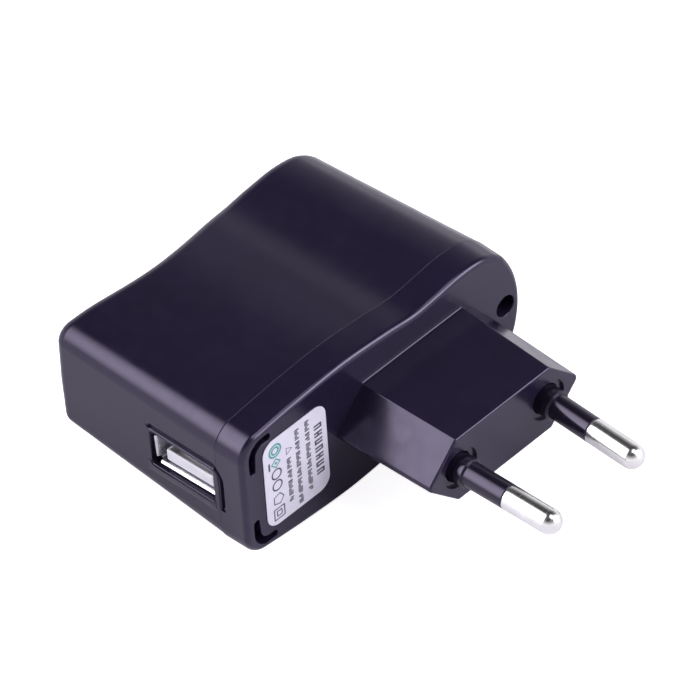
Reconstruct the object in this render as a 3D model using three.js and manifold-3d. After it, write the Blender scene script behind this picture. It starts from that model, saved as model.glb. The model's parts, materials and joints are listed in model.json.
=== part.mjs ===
// A USB wall charger with a two-pin European plug, lying on its long side, in millimetres.
// +X points out of the plug face along the pins, +Y runs from the USB end to the screw end, +Z is up.
// Everything is built about the middle of the plug block's front face, and the finished group is
// then moved so that its origin is the middle of its footprint, at the bottom.
import * as THREE from "three";
import { mergeVertices } from "three/addons/utils/BufferGeometryUtils.js";
import Module from "manifold-3d";

const wasm = await Module();
wasm.setup();

// Plug pins
const PIN_LENGTH = 19;
const PIN_RADIUS = 2;
const PIN_ROOT_Y = 9.3;
const PIN_TIP_Y = 8.75;
const PIN_CORE_RADIUS = 1.35;
const PIN_TAIL_X = -12;
const PIN_TAIL_RADIUS = 0.9;
const PIN_HOLDER_RADIUS = 3.7;
const SLEEVE_END = 9.4;
const SLEEVE_START = -8;
const SLEEVE_BORE = 1.5;
const COLLAR_RADIUS = 2.4;
const COLLAR_END = 1.9;
const PIN_HOLE_RADIUS = 2.6;
const PIN_RECESS_RADIUS = 3.45;
const PIN_RECESS_DEPTH = 0.8;

// Plug block, a hexagonal prism with its points at mid height
const BLOCK_DEPTH = 18.23;
const BLOCK_FRONT = { flat: 9.95, width: 15.7, height: 6.16 };
const BLOCK_ROOT = { flat: 10.66, width: 16.4, height: 6.39 };
const BLOCK_EDGE = 0.35;
const BLOCK_POINT_RADIUS = 0.9;
const BLOCK_WALL = 1.7;
const BLOCK_FRONT_WALL = 2.5;

// Housing
const NEAR_Y = -35.5;
const FAR_Y = 23;
const FAR_END_RADIUS = 17.3;
const FAR_END_HALF = 9.6;
const HALF_HEIGHT = 12.92;
const CORNER_RADIUS = 4;
const CORNER_Z = 7.62;
const WALL = 1.6;
const COVER_DEPTH = 5.3;
const COVER_PLATE = 1.8;
const COVER_DRAFT = THREE.MathUtils.degToRad(1.5);
const COVER_EDGE = 0.45;
const LIP_GAP = 0.3;
const LIP_WALL = 0.8;
const LIP_DEPTH = 2;
const SEAM_STEP = 0.1;
const SEAM_GAP = 0.12;
const SHELL_DEPTH = 34;
const SHELL_DRAFT = THREE.MathUtils.degToRad(1.4);
const FAR_TAPER = 1.5;
const BACK_FLATTENING = 0.5;
const CORNER_SOFTENING = 0.42;
const BACK_EDGE = 2;
const PLUG_FACE = -BLOCK_DEPTH;
const SEAM = PLUG_FACE - COVER_DEPTH;

// Screw
const SCREW_Y = 19.75;
const SCREW_WELL_RADIUS = 1.85;
const SCREW_HEAD_RADIUS = 1.6;
const SCREW_HEAD_HEIGHT = 1.3;
const SCREW_REST_GAP = 0.05;
const SCREW_RADIUS = 1.1;
const SCREW_SEAT = SEAM + 1.3;
const SCREW_LENGTH = 9;
const POST_RADIUS = 2.7;
const POST_BACK = -52;

// USB-A receptacle, centred on its own group
const USB_X = -31.12;
const USB_Z = -0.65;
const USB_FRONT_Y = NEAR_Y + 0.85;
const USB_WIDTH = 12.8;
const USB_HEIGHT = 5.7;
const USB_LENGTH = 14;
const USB_SHEET = 0.3;
const PORT_Z = -0.6;
const PORT_WIDTH = 13.1;
const PORT_HEIGHT = 7;
const PORT_CHAMFER = 0.4;
const PORT_RADIUS = 0.4;
const GROOVE_WIDTH = 0.9;
const GROOVE_DEPTH = 0.9;
const TONGUE_WIDTH = 9.6;
const TONGUE_HEIGHT = 1.84;
const TONGUE_Z = -1.35;
const CONTACT_WIDTH = 1;
const CONTACT_OFFSETS = [-3.5, -1, 1, 3.5];

// Label, slots and board
const LABEL = { y: -24.85, z: 0.2, width: 13, height: 17, radius: 2.3, gap: 0.03, thickness: 0.12 };
const SLOT_WIDTH = 1.3;
const SLOT_Y = -33.3;
const SLOT_Z = 9.9;
const SLOT_BEND = 2.35;
const SLOT_END = { y: -29.4, z: 4.7 };
const BOARD = { back: -52.3, front: -25.6, near: -32.8, far: 16.2, bottom: 2.85, top: 3.95 };
const RAIL = { gap: 0.3, height: 1.2, grip: 1.2 };

const AXIS_X = new THREE.Vector3(1, 0, 0);
const AXIS_Y = new THREE.Vector3(0, 1, 0);
const AXIS_Z = new THREE.Vector3(0, 0, 1);

// ---- solids ----

function solid(geometry) {
  const bare = geometry.clone();
  bare.deleteAttribute("normal");
  bare.deleteAttribute("uv");
  const merged = mergeVertices(bare, 1e-4);
  const mesh = new wasm.Mesh({
    numProp: 3,
    vertProperties: new Float32Array(merged.attributes.position.array),
    triVerts: new Uint32Array(merged.index.array),
  });
  return new wasm.Manifold(mesh);
}

function geometryOf(body) {
  const mesh = body.getMesh();
  const geometry = new THREE.BufferGeometry();
  geometry.setAttribute("position", new THREE.BufferAttribute(new Float32Array(mesh.vertProperties), 3));
  geometry.setIndex(new THREE.BufferAttribute(new Uint32Array(mesh.triVerts), 1));
  geometry.computeVertexNormals();
  return geometry;
}

const join = (...geometries) => geometryOf(geometries.map(solid).reduce((a, b) => a.add(b)));
const cut = (body, ...tools) => geometryOf(tools.map(solid).reduce((a, b) => a.subtract(b), solid(body)));
const common = (a, b) => geometryOf(solid(a).intersect(solid(b)));

// ---- basic shapes ----

function box([x0, x1], [y0, y1], [z0, z1]) {
  const geometry = new THREE.BoxGeometry(x1 - x0, y1 - y0, z1 - z0);
  return geometry.translate((x0 + x1) / 2, (y0 + y1) / 2, (z0 + z1) / 2);
}

// A solid of revolution about X. The profile lists [x, radius] pairs, from the low end to the high end.
function turnedX(profile, segments = 24) {
  const points = profile.map(([x, radius]) => new THREE.Vector2(radius, x));
  return new THREE.LatheGeometry(points, segments).rotateZ(-Math.PI / 2);
}

const rodX = (x0, x1, radius, segments) => turnedX([[x0, 0], [x0, radius], [x1, radius], [x1, 0]], segments);

function roundedRectangle(width, height, radius) {
  const x = width / 2 - radius;
  const y = height / 2 - radius;
  const shape = new THREE.Shape();
  shape.absarc(x, y, radius, 0, Math.PI / 2);
  shape.absarc(-x, y, radius, Math.PI / 2, Math.PI);
  shape.absarc(-x, -y, radius, Math.PI, 1.5 * Math.PI);
  shape.absarc(x, -y, radius, 1.5 * Math.PI, 2 * Math.PI);
  shape.closePath();
  return shape;
}

function polygon(points) {
  return new THREE.Shape(points.map(([x, y]) => new THREE.Vector2(x, y)));
}

function extrude(shape, depth, curveSegments = 4) {
  return new THREE.ExtrudeGeometry(shape, { depth, bevelEnabled: false, curveSegments });
}

// Plates whose outline lies in the YZ, ZX or XY plane, from the low to the high coordinate.
function plateX(shape, low, high, curveSegments) {
  const turn = new THREE.Matrix4().makeBasis(AXIS_Y, AXIS_Z, AXIS_X);
  return extrude(shape, high - low, curveSegments).applyMatrix4(turn).translate(low, 0, 0);
}

function plateY(shape, low, high, curveSegments) {
  const turn = new THREE.Matrix4().makeBasis(AXIS_Z, AXIS_X, AXIS_Y);
  return extrude(shape, high - low, curveSegments).applyMatrix4(turn).translate(0, low, 0);
}

const plateZ = (shape, low, high, curveSegments) => extrude(shape, high - low, curveSegments).translate(0, 0, low);

// A round wire through the given points.
function wire(points, radius, steps, sides = 8) {
  const section = new THREE.Shape().absarc(0, 0, radius, 0, 2 * Math.PI);
  const path = new THREE.CatmullRomCurve3(points.map((p) => new THREE.Vector3(...p)));
  return new THREE.ExtrudeGeometry(section, { steps, extrudePath: path, curveSegments: sides });
}

// ---- lofts ----

function arc(centreX, centreY, radius, from, to, steps) {
  return Array.from({ length: steps + 1 }, (_, i) => {
    const angle = THREE.MathUtils.lerp(from, to, i / steps);
    return new THREE.Vector2(centreX + radius * Math.cos(angle), centreY + radius * Math.sin(angle));
  });
}

// The whole outline of a shape that is symmetric about Z = 0, from its upper half.
function wholeOutline(upper) {
  const lower = upper.slice(1, -1).reverse().map((p) => new THREE.Vector2(p.x, -p.y));
  return [...upper, ...lower];
}

// Moves an outline's points along their normals. A positive distance makes it larger.
function grown(outline, distance) {
  return outline.map((point, i) => {
    const before = outline.at(i - 1);
    const after = outline[(i + 1) % outline.length];
    const along = after.clone().sub(before).normalize();
    return new THREE.Vector2(point.x - along.y * distance, point.y + along.x * distance);
  });
}

// Joins rings of equal length, in order of rising X, and closes both ends with strips across Z.
// Each ring comes from wholeOutline, so a point's mirror image has the mirrored index.
function loft(rings) {
  const count = rings[0].length;
  const half = count / 2;
  const positions = rings.flat().flatMap((p) => [p.x, p.y, p.z]);
  const faces = [];
  for (let k = 0; k + 1 < rings.length; k++) {
    for (let i = 0; i < count; i++) {
      const a = k * count + i;
      const b = k * count + ((i + 1) % count);
      faces.push(a, a + count, b, b, a + count, b + count);
    }
  }
  const mirror = (i) => (count - i) % count;
  const last = (rings.length - 1) * count;
  for (let i = 0; i < half; i++) {
    if (i + 1 < half) {
      faces.push(i + 1, mirror(i + 1), mirror(i));
      faces.push(last + i + 1, last + mirror(i), last + mirror(i + 1));
    }
    if (i > 0) {
      faces.push(i, i + 1, mirror(i));
      faces.push(last + i, last + mirror(i), last + i + 1);
    }
  }
  const geometry = new THREE.BufferGeometry();
  geometry.setAttribute("position", new THREE.Float32BufferAttribute(positions, 3));
  geometry.setIndex(faces);
  return geometry;
}

const ring = (outline, x) => outline.map((p) => new THREE.Vector3(x, p.x, p.y));

// ---- housing ----

// The upper half of the housing's outline at the plug face, as (y, z) from the USB end to the screw end.
// The long side swells, narrows to a waist and swells again before it rounds into the screw end.
function housingUpperOutline() {
  const nearCorner = arc(NEAR_Y + CORNER_RADIUS, CORNER_Z, CORNER_RADIUS, Math.PI, 0.53 * Math.PI, 7);
  const farStart = Math.asin(FAR_END_HALF / FAR_END_RADIUS);
  const farEnd = arc(FAR_Y - FAR_END_RADIUS, 0, FAR_END_RADIUS, farStart, 0, 7);
  const side = new THREE.SplineCurve([
    nearCorner.at(-1),
    new THREE.Vector2(-24, 12.4),
    new THREE.Vector2(-14, HALF_HEIGHT),
    new THREE.Vector2(-5, 12.35),
    new THREE.Vector2(1, 11.72),
    new THREE.Vector2(6, 12.1),
    new THREE.Vector2(11, 12.65),
    new THREE.Vector2(15.5, 12.32),
    new THREE.Vector2(18.3, 11.1),
    farEnd[0],
  ]);
  return [new THREE.Vector2(NEAR_Y, 0), ...nearCorner, ...side.getPoints(27).slice(1, -1), ...farEnd];
}

const HOUSING = wholeOutline(housingUpperOutline());

// The X of the back face along Y: it is hollow near the USB end and bulges past the middle.
function backX(y) {
  const extremes = [[-36, -58.2], [-15, -55.5], [4.5, -57.7], [24, -57]];
  const next = extremes.findIndex(([extremeY], i) => i > 0 && y <= extremeY);
  const [[y0, x0], [y1, x1]] = extremes.slice(next - 1, next + 1);
  return THREE.MathUtils.lerp(x0, x1, THREE.MathUtils.smoothstep(y, y0, y1));
}

// The rear shell's outline at a distance behind the seam. It narrows towards the back, most at the screw
// end and on the two long sides, and its corners at the USB end get rounder.
function shellOutline(depth, inset) {
  const size = COVER_DEPTH * Math.tan(COVER_DRAFT) - SEAM_STEP - depth * Math.tan(SHELL_DRAFT) - inset;
  const shorter = (FAR_TAPER * depth) / (SHELL_DEPTH * FAR_Y);
  const flatter = 1 - (BACK_FLATTENING * depth) / (SHELL_DEPTH * HALF_HEIGHT);
  return grown(HOUSING, size).map(({ x, y }) => {
    const atCorner = THREE.MathUtils.smoothstep(-x, 27, 35) * THREE.MathUtils.smoothstep(Math.abs(y), 4, 12);
    const softer = (CORNER_SOFTENING * atCorner * depth) / SHELL_DEPTH;
    return new THREE.Vector2(x - Math.max(x, 0) * shorter + softer, y * flatter - Math.sign(y) * softer);
  });
}

function shellLoft(front, inset, edge) {
  const straight = [SHELL_DEPTH / 2, 0].map((depth) => ring(shellOutline(depth, inset), front - depth));
  const rounded = [90, 60, 30, 0].map((degrees) => {
    const angle = THREE.MathUtils.degToRad(degrees);
    const outline = shellOutline(SHELL_DEPTH - BACK_EDGE, inset + edge * (1 - Math.cos(angle)));
    const forward = inset + edge * (1 - Math.sin(angle));
    return outline.map((p) => new THREE.Vector3(backX(p.x) + forward, p.x, p.y));
  });
  return loft([...rounded, ...straight]);
}

function usbPortCutter() {
  const mouth = roundedRectangle(PORT_HEIGHT, PORT_WIDTH, PORT_RADIUS);
  const through = plateY(mouth, NEAR_Y - 1, NEAR_Y + 3).translate(USB_X, 0, PORT_Z);
  const chamfer = plateY(mouth, -1, 0);
  const position = chamfer.attributes.position;
  for (let i = 0; i < position.count; i++) {
    if (position.getY(i) < -0.5) {
      position.setX(i, position.getX(i) * (1 + (2 * PORT_CHAMFER) / PORT_WIDTH));
      position.setZ(i, position.getZ(i) * (1 + (2 * PORT_CHAMFER) / PORT_HEIGHT));
    }
  }
  chamfer.scale(1, PORT_CHAMFER + 0.3, 1).translate(USB_X, NEAR_Y + PORT_CHAMFER, PORT_Z);
  return join(through, chamfer);
}

// The shallow groove that runs from the port's upper front corner down along the seam.
function portGroove() {
  const back = SEAM + 0.3;
  const front = back + GROOVE_WIDTH;
  const outline = polygon([
    [-4, back],
    [-4, front],
    [2.2, front],
    [3.3, SEAM - 1],
    [2.6, SEAM - 1.2],
    [1.9, back],
  ]);
  return plateY(outline, NEAR_Y - 1, NEAR_Y + GROOVE_DEPTH);
}

// Two rails on the end wall hold the circuit board's edge between them.
function boardRails() {
  const { gap, height, grip } = RAIL;
  const alongY = [NEAR_Y + WALL / 2, BOARD.near + grip];
  const back = BOARD.back + 2;
  const beforePort = USB_X - USB_WIDTH / 2 - 0.6;
  return [
    box([back, BOARD.front - 1.5], alongY, [BOARD.top + gap, BOARD.top + gap + height]),
    box([back, beforePort], alongY, [BOARD.bottom - gap - height, BOARD.bottom - gap]),
  ];
}

function rearShell() {
  const outside = shellLoft(SEAM, 0, BACK_EDGE);
  const inside = shellLoft(SEAM + 1, WALL, BACK_EDGE - WALL / 2);
  const post = rodX(POST_BACK, SEAM, POST_RADIUS, 20).translate(0, SCREW_Y, 0);
  const web = box([POST_BACK, SEAM], [SCREW_Y, SCREW_Y + 2.5], [-1, 1]);
  const rim = box([SEAM - SEAM_GAP, SEAM + 2], [-50, 50], [-50, 50]);
  const pilot = rodX(SCREW_SEAT - SCREW_LENGTH - 1, SEAM + 1, SCREW_RADIUS + 0.15, 16).translate(0, SCREW_Y, 0);
  const innerFittings = common(join(post, web, ...boardRails()), outside);
  return cut(join(cut(outside, inside), innerFittings), rim, pilot, usbPortCutter(), portGroove());
}

// ---- front cover ----

// The plug block's outline: a hexagon with its corners rounded, more at the two points.
function blockOutline({ flat, width, height }) {
  const pointX = width - BLOCK_POINT_RADIUS;
  const reach = Math.hypot(pointX - flat, height);
  const slope = Math.atan2(height, pointX - flat) - Math.asin(BLOCK_POINT_RADIUS / reach);
  const flatX = flat - BLOCK_EDGE * Math.tan(slope / 2);
  const farFlat = arc(flatX, height - BLOCK_EDGE, BLOCK_EDGE, Math.PI / 2, Math.PI / 2 - slope, 2);
  const farPoint = arc(pointX, 0, BLOCK_POINT_RADIUS, Math.PI / 2 - slope, 0, 3);
  const far = [...farFlat, ...farPoint];
  const near = far.slice().reverse().map((p) => new THREE.Vector2(-p.x, p.y));
  return wholeOutline([...near, ...far]);
}

function plugBlock() {
  const front = blockOutline(BLOCK_FRONT);
  const slopes = [0, 45, 90].map((degrees) => {
    const angle = THREE.MathUtils.degToRad(degrees);
    const inset = BLOCK_EDGE * (1 - Math.cos(angle));
    return ring(grown(front, -inset), -BLOCK_EDGE * (1 - Math.sin(angle)));
  });
  return loft([ring(blockOutline(BLOCK_ROOT), PLUG_FACE - COVER_PLATE / 2), ...slopes]);
}

function plugBlockHollow() {
  const back = ring(grown(blockOutline(BLOCK_ROOT), -BLOCK_WALL), SEAM);
  const front = ring(grown(blockOutline(BLOCK_FRONT), -BLOCK_WALL), -BLOCK_FRONT_WALL);
  return loft([back, front]);
}

const PIN_TURN = Math.atan2(PIN_ROOT_Y - PIN_TIP_Y, PIN_LENGTH);

// Puts a shape made about the X axis where a pin stands. side is 1 for the pin at +Y and -1 at -Y.
function atPin(geometry, side) {
  return geometry.rotateZ(-side * PIN_TURN).translate(0, side * PIN_ROOT_Y, 0);
}

function slotCutter(side) {
  const corner = new THREE.Vector2(SLOT_Y, side * SLOT_Z);
  const outer = SLOT_BEND + SLOT_WIDTH / 2;
  const inner = SLOT_BEND - SLOT_WIDTH / 2;
  const centre = [corner.x + SLOT_BEND, SLOT_Z - SLOT_BEND];
  const upper = [
    new THREE.Vector2(corner.x - SLOT_WIDTH / 2, SLOT_END.z),
    ...arc(...centre, outer, Math.PI, Math.PI / 2, 4),
    new THREE.Vector2(SLOT_END.y, SLOT_Z + SLOT_WIDTH / 2),
    new THREE.Vector2(SLOT_END.y, SLOT_Z - SLOT_WIDTH / 2),
    ...arc(...centre, inner, Math.PI / 2, Math.PI, 4),
    new THREE.Vector2(corner.x + SLOT_WIDTH / 2, SLOT_END.z),
  ];
  const shape = new THREE.Shape(upper.map((p) => new THREE.Vector2(p.x, side * p.y)));
  return plateX(shape, SEAM - LIP_DEPTH - 1, PLUG_FACE + 1);
}

function coverShellLoft() {
  const size = (x) => (PLUG_FACE - x) * Math.tan(COVER_DRAFT);
  const edge = [0, 30, 60, 90].map((degrees) => {
    const angle = THREE.MathUtils.degToRad(degrees);
    const x = PLUG_FACE - COVER_EDGE * (1 - Math.sin(angle));
    return ring(grown(HOUSING, size(x) - COVER_EDGE * (1 - Math.cos(angle))), x);
  });
  return loft([ring(grown(HOUSING, size(SEAM)), SEAM), ...edge]);
}

function frontCover() {
  const lipOutside = ring(grown(HOUSING, -WALL - LIP_GAP), SEAM - LIP_DEPTH);
  const lipFront = ring(grown(HOUSING, -WALL - LIP_GAP), PLUG_FACE - COVER_PLATE / 2);
  const inset = -WALL - LIP_GAP - LIP_WALL;
  const hollowBack = ring(grown(HOUSING, inset), SEAM - LIP_DEPTH - 1);
  const hollowFront = ring(grown(HOUSING, inset), PLUG_FACE - COVER_PLATE);
  const holders = [-1, 1].map((side) => atPin(rodX(SLEEVE_START + 0.5, -1.5, PIN_HOLDER_RADIUS, 20), side));
  const boss = rodX(SEAM + 0.2, PLUG_FACE - 0.5, POST_RADIUS, 20).translate(0, SCREW_Y, 0);
  const reliefX = [SEAM - LIP_DEPTH - 1, SEAM + 0.2];
  const lipRelief = box(reliefX, [SCREW_Y - 3.5, FAR_Y - WALL - 0.15], [-4, 4]);
  const portRelief = box(reliefX, [NEAR_Y + WALL + 0.15, SLOT_Y + 1.3], [-4.43, 4.43]);
  const frame = cut(
    join(coverShellLoft(), loft([lipOutside, lipFront])),
    loft([hollowBack, hollowFront]),
    lipRelief,
    portRelief,
  );
  const body = cut(join(frame, plugBlock()), plugBlockHollow());
  const well = rodX(SCREW_SEAT, PLUG_FACE + 1, SCREW_WELL_RADIUS, 20).translate(0, SCREW_Y, 0);
  const shank = rodX(SEAM - 1, SCREW_SEAT + 0.5, SCREW_RADIUS + 0.2, 16).translate(0, SCREW_Y, 0);
  const bores = [-1, 1].map((side) => atPin(rodX(PIN_TAIL_X, 2, PIN_HOLE_RADIUS), side));
  const recesses = [-1, 1].map((side) =>
    rodX(-PIN_RECESS_DEPTH, 1, PIN_RECESS_RADIUS).translate(0, side * PIN_ROOT_Y, 0),
  );
  return cut(
    join(body, boss, ...holders),
    well,
    shank,
    ...bores,
    ...recesses,
    slotCutter(1),
    slotCutter(-1),
    portGroove(),
  );
}

function coverScrew() {
  const tip = SCREW_SEAT - SCREW_LENGTH;
  const rest = SCREW_SEAT + SCREW_REST_GAP;
  const top = rest + SCREW_HEAD_HEIGHT;
  const body = turnedX([
    [tip, 0],
    [tip + 1.5, SCREW_RADIUS],
    [rest, SCREW_RADIUS],
    [rest, SCREW_HEAD_RADIUS],
    [top - 0.4, SCREW_HEAD_RADIUS],
    [top, SCREW_HEAD_RADIUS - 0.5],
    [top, 0],
  ], 20);
  const inHead = [top - 0.7, top + 1];
  const long = [-1.05, 1.05];
  const short = [-0.3, 0.3];
  return cut(body, box(inHead, long, short), box(inHead, short, long));
}

function ratingLabel() {
  const shape = roundedRectangle(LABEL.width, LABEL.height, LABEL.radius);
  return plateX(shape, LABEL.gap, LABEL.gap + LABEL.thickness, 6);
}

// ---- plug pins ----

function plugPin() {
  const dome = arc(PIN_LENGTH - PIN_RADIUS, 0, PIN_RADIUS, Math.PI / 2, 0, 5).map((p) => [p.x, p.y]);
  return turnedX([
    [PIN_TAIL_X, 0],
    [PIN_TAIL_X, PIN_TAIL_RADIUS],
    [SLEEVE_START - 1, PIN_TAIL_RADIUS],
    [SLEEVE_START - 0.6, PIN_CORE_RADIUS],
    [SLEEVE_END, PIN_CORE_RADIUS],
    [SLEEVE_END, PIN_RADIUS - 0.04],
    [SLEEVE_END + 0.1, PIN_RADIUS],
    ...dome.slice(0, -1),
    [PIN_LENGTH, 0],
  ]);
}

function pinSleeve() {
  const end = SLEEVE_END - 0.08;
  return turnedX([
    [SLEEVE_START, SLEEVE_BORE],
    [SLEEVE_START, COLLAR_RADIUS],
    [COLLAR_END - 0.15, COLLAR_RADIUS],
    [COLLAR_END, COLLAR_RADIUS - 0.2],
    [COLLAR_END, PIN_RADIUS],
    [end, PIN_RADIUS],
    [end, SLEEVE_BORE],
    [SLEEVE_START, SLEEVE_BORE],
  ]);
}

function pinWire(side) {
  const y = side * (PIN_ROOT_Y - PIN_TAIL_X * Math.sin(PIN_TURN));
  return wire([
    [PIN_TAIL_X - 0.3, y, 0],
    [PIN_TAIL_X - 4, y, 0.4],
    [SEAM + 1, side * 8.4, 4.6],
    [SEAM - 2.5, side * 7.6, 6.6],
    [SEAM - 5, side * 7.4, BOARD.top + 1.8],
    [SEAM - 5, side * 7.4, BOARD.top + 0.3],
  ], 0.8, 20);
}

// ---- USB receptacle ----

function usbShell() {
  const outside = roundedRectangle(USB_HEIGHT, USB_WIDTH, 0.7);
  outside.holes.push(roundedRectangle(USB_HEIGHT - 2 * USB_SHEET, USB_WIDTH - 2 * USB_SHEET, 0.4));
  return plateY(outside, 0, USB_LENGTH);
}

function usbTongue() {
  const innerHalf = USB_WIDTH / 2 - USB_SHEET - 0.1;
  const innerTop = USB_HEIGHT / 2 - USB_SHEET - 0.1;
  const base = box([-innerHalf, innerHalf], [USB_LENGTH - 3.5, USB_LENGTH - 0.3], [-innerTop, innerTop]);
  const half = TONGUE_WIDTH / 2;
  const low = TONGUE_Z - TONGUE_HEIGHT / 2;
  const high = TONGUE_Z + TONGUE_HEIGHT / 2;
  const blade = plateX(
    polygon([[0.95, low + 0.3], [1.25, low], [11, low], [11, high], [1.25, high], [0.95, high - 0.3]]),
    -half,
    half,
  );
  return join(base, blade);
}

function usbContact() {
  const top = TONGUE_Z + TONGUE_HEIGHT / 2;
  return plateX(
    polygon([[1.9, top + 0.03], [10.2, top + 0.03], [10.2, top + 0.28], [4.4, top + 0.28], [3.2, top + 0.5],
      [2.6, top + 0.5], [1.9, top + 0.2]]),
    -CONTACT_WIDTH / 2,
    CONTACT_WIDTH / 2,
  );
}

// ---- circuit board and what it carries, hanging below it ----

const HANG = BOARD.bottom - 0.1;

function circuitBoard() {
  const { back, front, near, far } = BOARD;
  const outline = polygon([[back + 2, near], [front, near], [front, far - 3], [front - 3, far], [back + 3, far],
    [back, far - 4], [back, near + 2]]);
  return plateZ(outline, BOARD.bottom, BOARD.top);
}

// A part with a wire at each end, lying along X about its own origin, its wires turned up to the board.
function axialPart(radius, length, reach) {
  const half = length / 2;
  const body = turnedX([
    [-half, 0],
    [-half, radius * 0.7],
    [-half + 0.5, radius],
    [half - 0.5, radius],
    [half, radius * 0.7],
    [half, 0],
  ], 14);
  const leads = [-1, 1].map((side) =>
    wire([[side * (half - 0.6), 0, 0], [side * (half + 0.9), 0, 0], [side * (half + 1.3), 0, 0.5],
      [side * (half + 1.4), 0, reach]], 0.35, 8, 3),
  );
  return join(body, ...leads);
}

// An electrolytic capacitor standing upside down below the board, with its seal and vent grooves.
function canCapacitor(radius, height) {
  return turnedX([
    [-height, 0],
    [-height, radius - 0.6],
    [-height + 0.5, radius],
    [-1.9, radius],
    [-1.5, radius - 0.4],
    [-1.1, radius],
    [-0.3, radius],
    [0, radius - 0.4],
    [0, 0],
  ], 20).rotateY(-Math.PI / 2);
}

const TRANSFORMER = { width: 16, depth: 5, half: 6, yoke: 2.2, leg: 2, centreLeg: 4, gap: 0.15 };

// One E-shaped ferrite half, opening downwards from its yoke at the top. direction -1 turns it over.
function ferriteHalf(direction) {
  const { width, depth, half, yoke, leg, centreLeg, gap } = TRANSFORMER;
  const w = width / 2;
  const c = centreLeg / 2;
  const z = (value) => direction * value;
  const shape = polygon([[-w, z(gap)], [-w, z(half)], [w, z(half)], [w, z(gap)], [w - leg, z(gap)],
    [w - leg, z(half - yoke)], [c, z(half - yoke)], [c, z(gap)], [-c, z(gap)], [-c, z(half - yoke)],
    [-w + leg, z(half - yoke)], [-w + leg, z(gap)]]);
  return plateX(shape, -depth / 2, depth / 2);
}

function framePlate(outer, inner, low, high) {
  const shape = roundedRectangle(outer[0], outer[1], 0.6);
  shape.holes.push(roundedRectangle(inner[0], inner[1], 0.1));
  return plateZ(shape, low, high, 2);
}

function transformerBobbin() {
  const bore = [TRANSFORMER.depth + 0.5, TRANSFORMER.centreLeg + 0.5];
  const tube = bore.map((size) => size + 1.4);
  const flange = [11.5, 11.5];
  return join(
    framePlate(tube, bore, -3.5, 3.5),
    framePlate(flange, bore, -3.5, -2.7),
    framePlate(flange, bore, 2.7, 3.5),
  );
}

const transformerWinding = () => framePlate([11, 11], [7.3, 6.3], -2.6, 2.6);

function discCapacitor() {
  const disc = turnedX([[-1.3, 0], [-1.3, 3], [-0.7, 3.8], [0.7, 3.8], [1.3, 3], [1.3, 0]], 18);
  const leads = [-2.5, 2.5].map((y) => wire([[0, y, 2], [0, y, 3.5], [0, y, 5]], 0.35, 2, 3));
  return join(disc, ...leads);
}

function transistor() {
  const face = new THREE.Shape();
  face.absarc(0, 0, 2.3, -0.75 * Math.PI, 0.75 * Math.PI);
  face.closePath();
  const legs = [-1.27, 0, 1.27].map((y) => box([-0.25, 0.25], [y - 0.25, y + 0.25], [-0.5, 2.5]));
  return join(plateZ(face, -4.6, 0, 6), ...legs);
}

function optocoupler() {
  const body = box([-3.25, 3.25], [-2.3, 2.3], [-3.4, 0]);
  const legs = [[-1, -1], [-1, 1], [1, -1], [1, 1]].map(([sx, sy]) => {
    const x = [sx * 3.7, sx * 3.1].sort((a, b) => a - b);
    const y = [sy * 1.27 - 0.3, sy * 1.27 + 0.3];
    return box(x, y, [-1.9, 0.6]);
  });
  return join(body, ...legs);
}

// ---- materials ----

const surface = (color, roughness, metalness = 0) => new THREE.MeshStandardMaterial({ color, roughness, metalness });
const blackPlastic = surface(0x1d1a24, 0.35);
const sleevePlastic = surface(0x17151b, 0.3);
const nickel = surface(0xd9d9dc, 0.15, 1);
const blackSteel = surface(0x2a2a2e, 0.4, 1);
const labelPaper = surface(0xd7d4e1, 0.5);
const tinnedSteel = surface(0xc9c9cf, 0.25, 1);
const whitePlastic = surface(0xf4f4f6, 0.4);
const gold = surface(0xd8b25a, 0.25, 1);
const laminate = surface(0xb79a5c, 0.6);
const ferrite = surface(0x3a3a3d, 0.6);
const bobbinPlastic = surface(0x151515, 0.5);
const windingTape = surface(0xd8b428, 0.5);
const canSleeve = surface(0x1c1f3a, 0.4);
const epoxy = surface(0x141416, 0.45);
const ceramic = surface(0x2f6fb0, 0.5);
const resistorPaint = surface(0xc9b48a, 0.5);
const brownInsulation = surface(0x6b3a1e, 0.5);
const blueInsulation = surface(0x2b5fae, 0.5);

// ---- assembly ----

function add(group, name, geometry, material, position = [0, 0, 0], turn = 0) {
  const mesh = new THREE.Mesh(geometry, material);
  mesh.name = name;
  mesh.position.set(...position);
  mesh.rotation.z = turn;
  group.add(mesh);
}

const charger = new THREE.Group();

const housing = new THREE.Group();
add(housing, "rear_shell", rearShell(), blackPlastic);
add(housing, "front_cover", frontCover(), blackPlastic);
add(housing, "cover_screw", coverScrew(), blackSteel, [0, SCREW_Y, 0]);
add(housing, "rating_label", ratingLabel(), labelPaper, [PLUG_FACE, LABEL.y, LABEL.z]);
charger.add(housing);

for (const [pole, side, insulation] of [["live", 1, brownInsulation], ["neutral", -1, blueInsulation]]) {
  const stand = new THREE.Group();
  stand.position.y = side * PIN_ROOT_Y;
  stand.rotation.z = -side * PIN_TURN;
  add(stand, `${pole}_pin`, plugPin(), nickel);
  add(stand, `${pole}_pin_sleeve`, pinSleeve(), sleevePlastic);
  charger.add(stand);
  add(charger, `${pole}_wire`, pinWire(side), insulation);
}

const port = new THREE.Group();
port.position.set(USB_X, USB_FRONT_Y, USB_Z);
add(port, "usb_shell", usbShell(), tinnedSteel);
add(port, "usb_tongue", usbTongue(), whitePlastic);
CONTACT_OFFSETS.forEach((x, i) => add(port, `usb_contact_${i + 1}`, usbContact(), gold, [x, 0, 0]));
charger.add(port);

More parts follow.
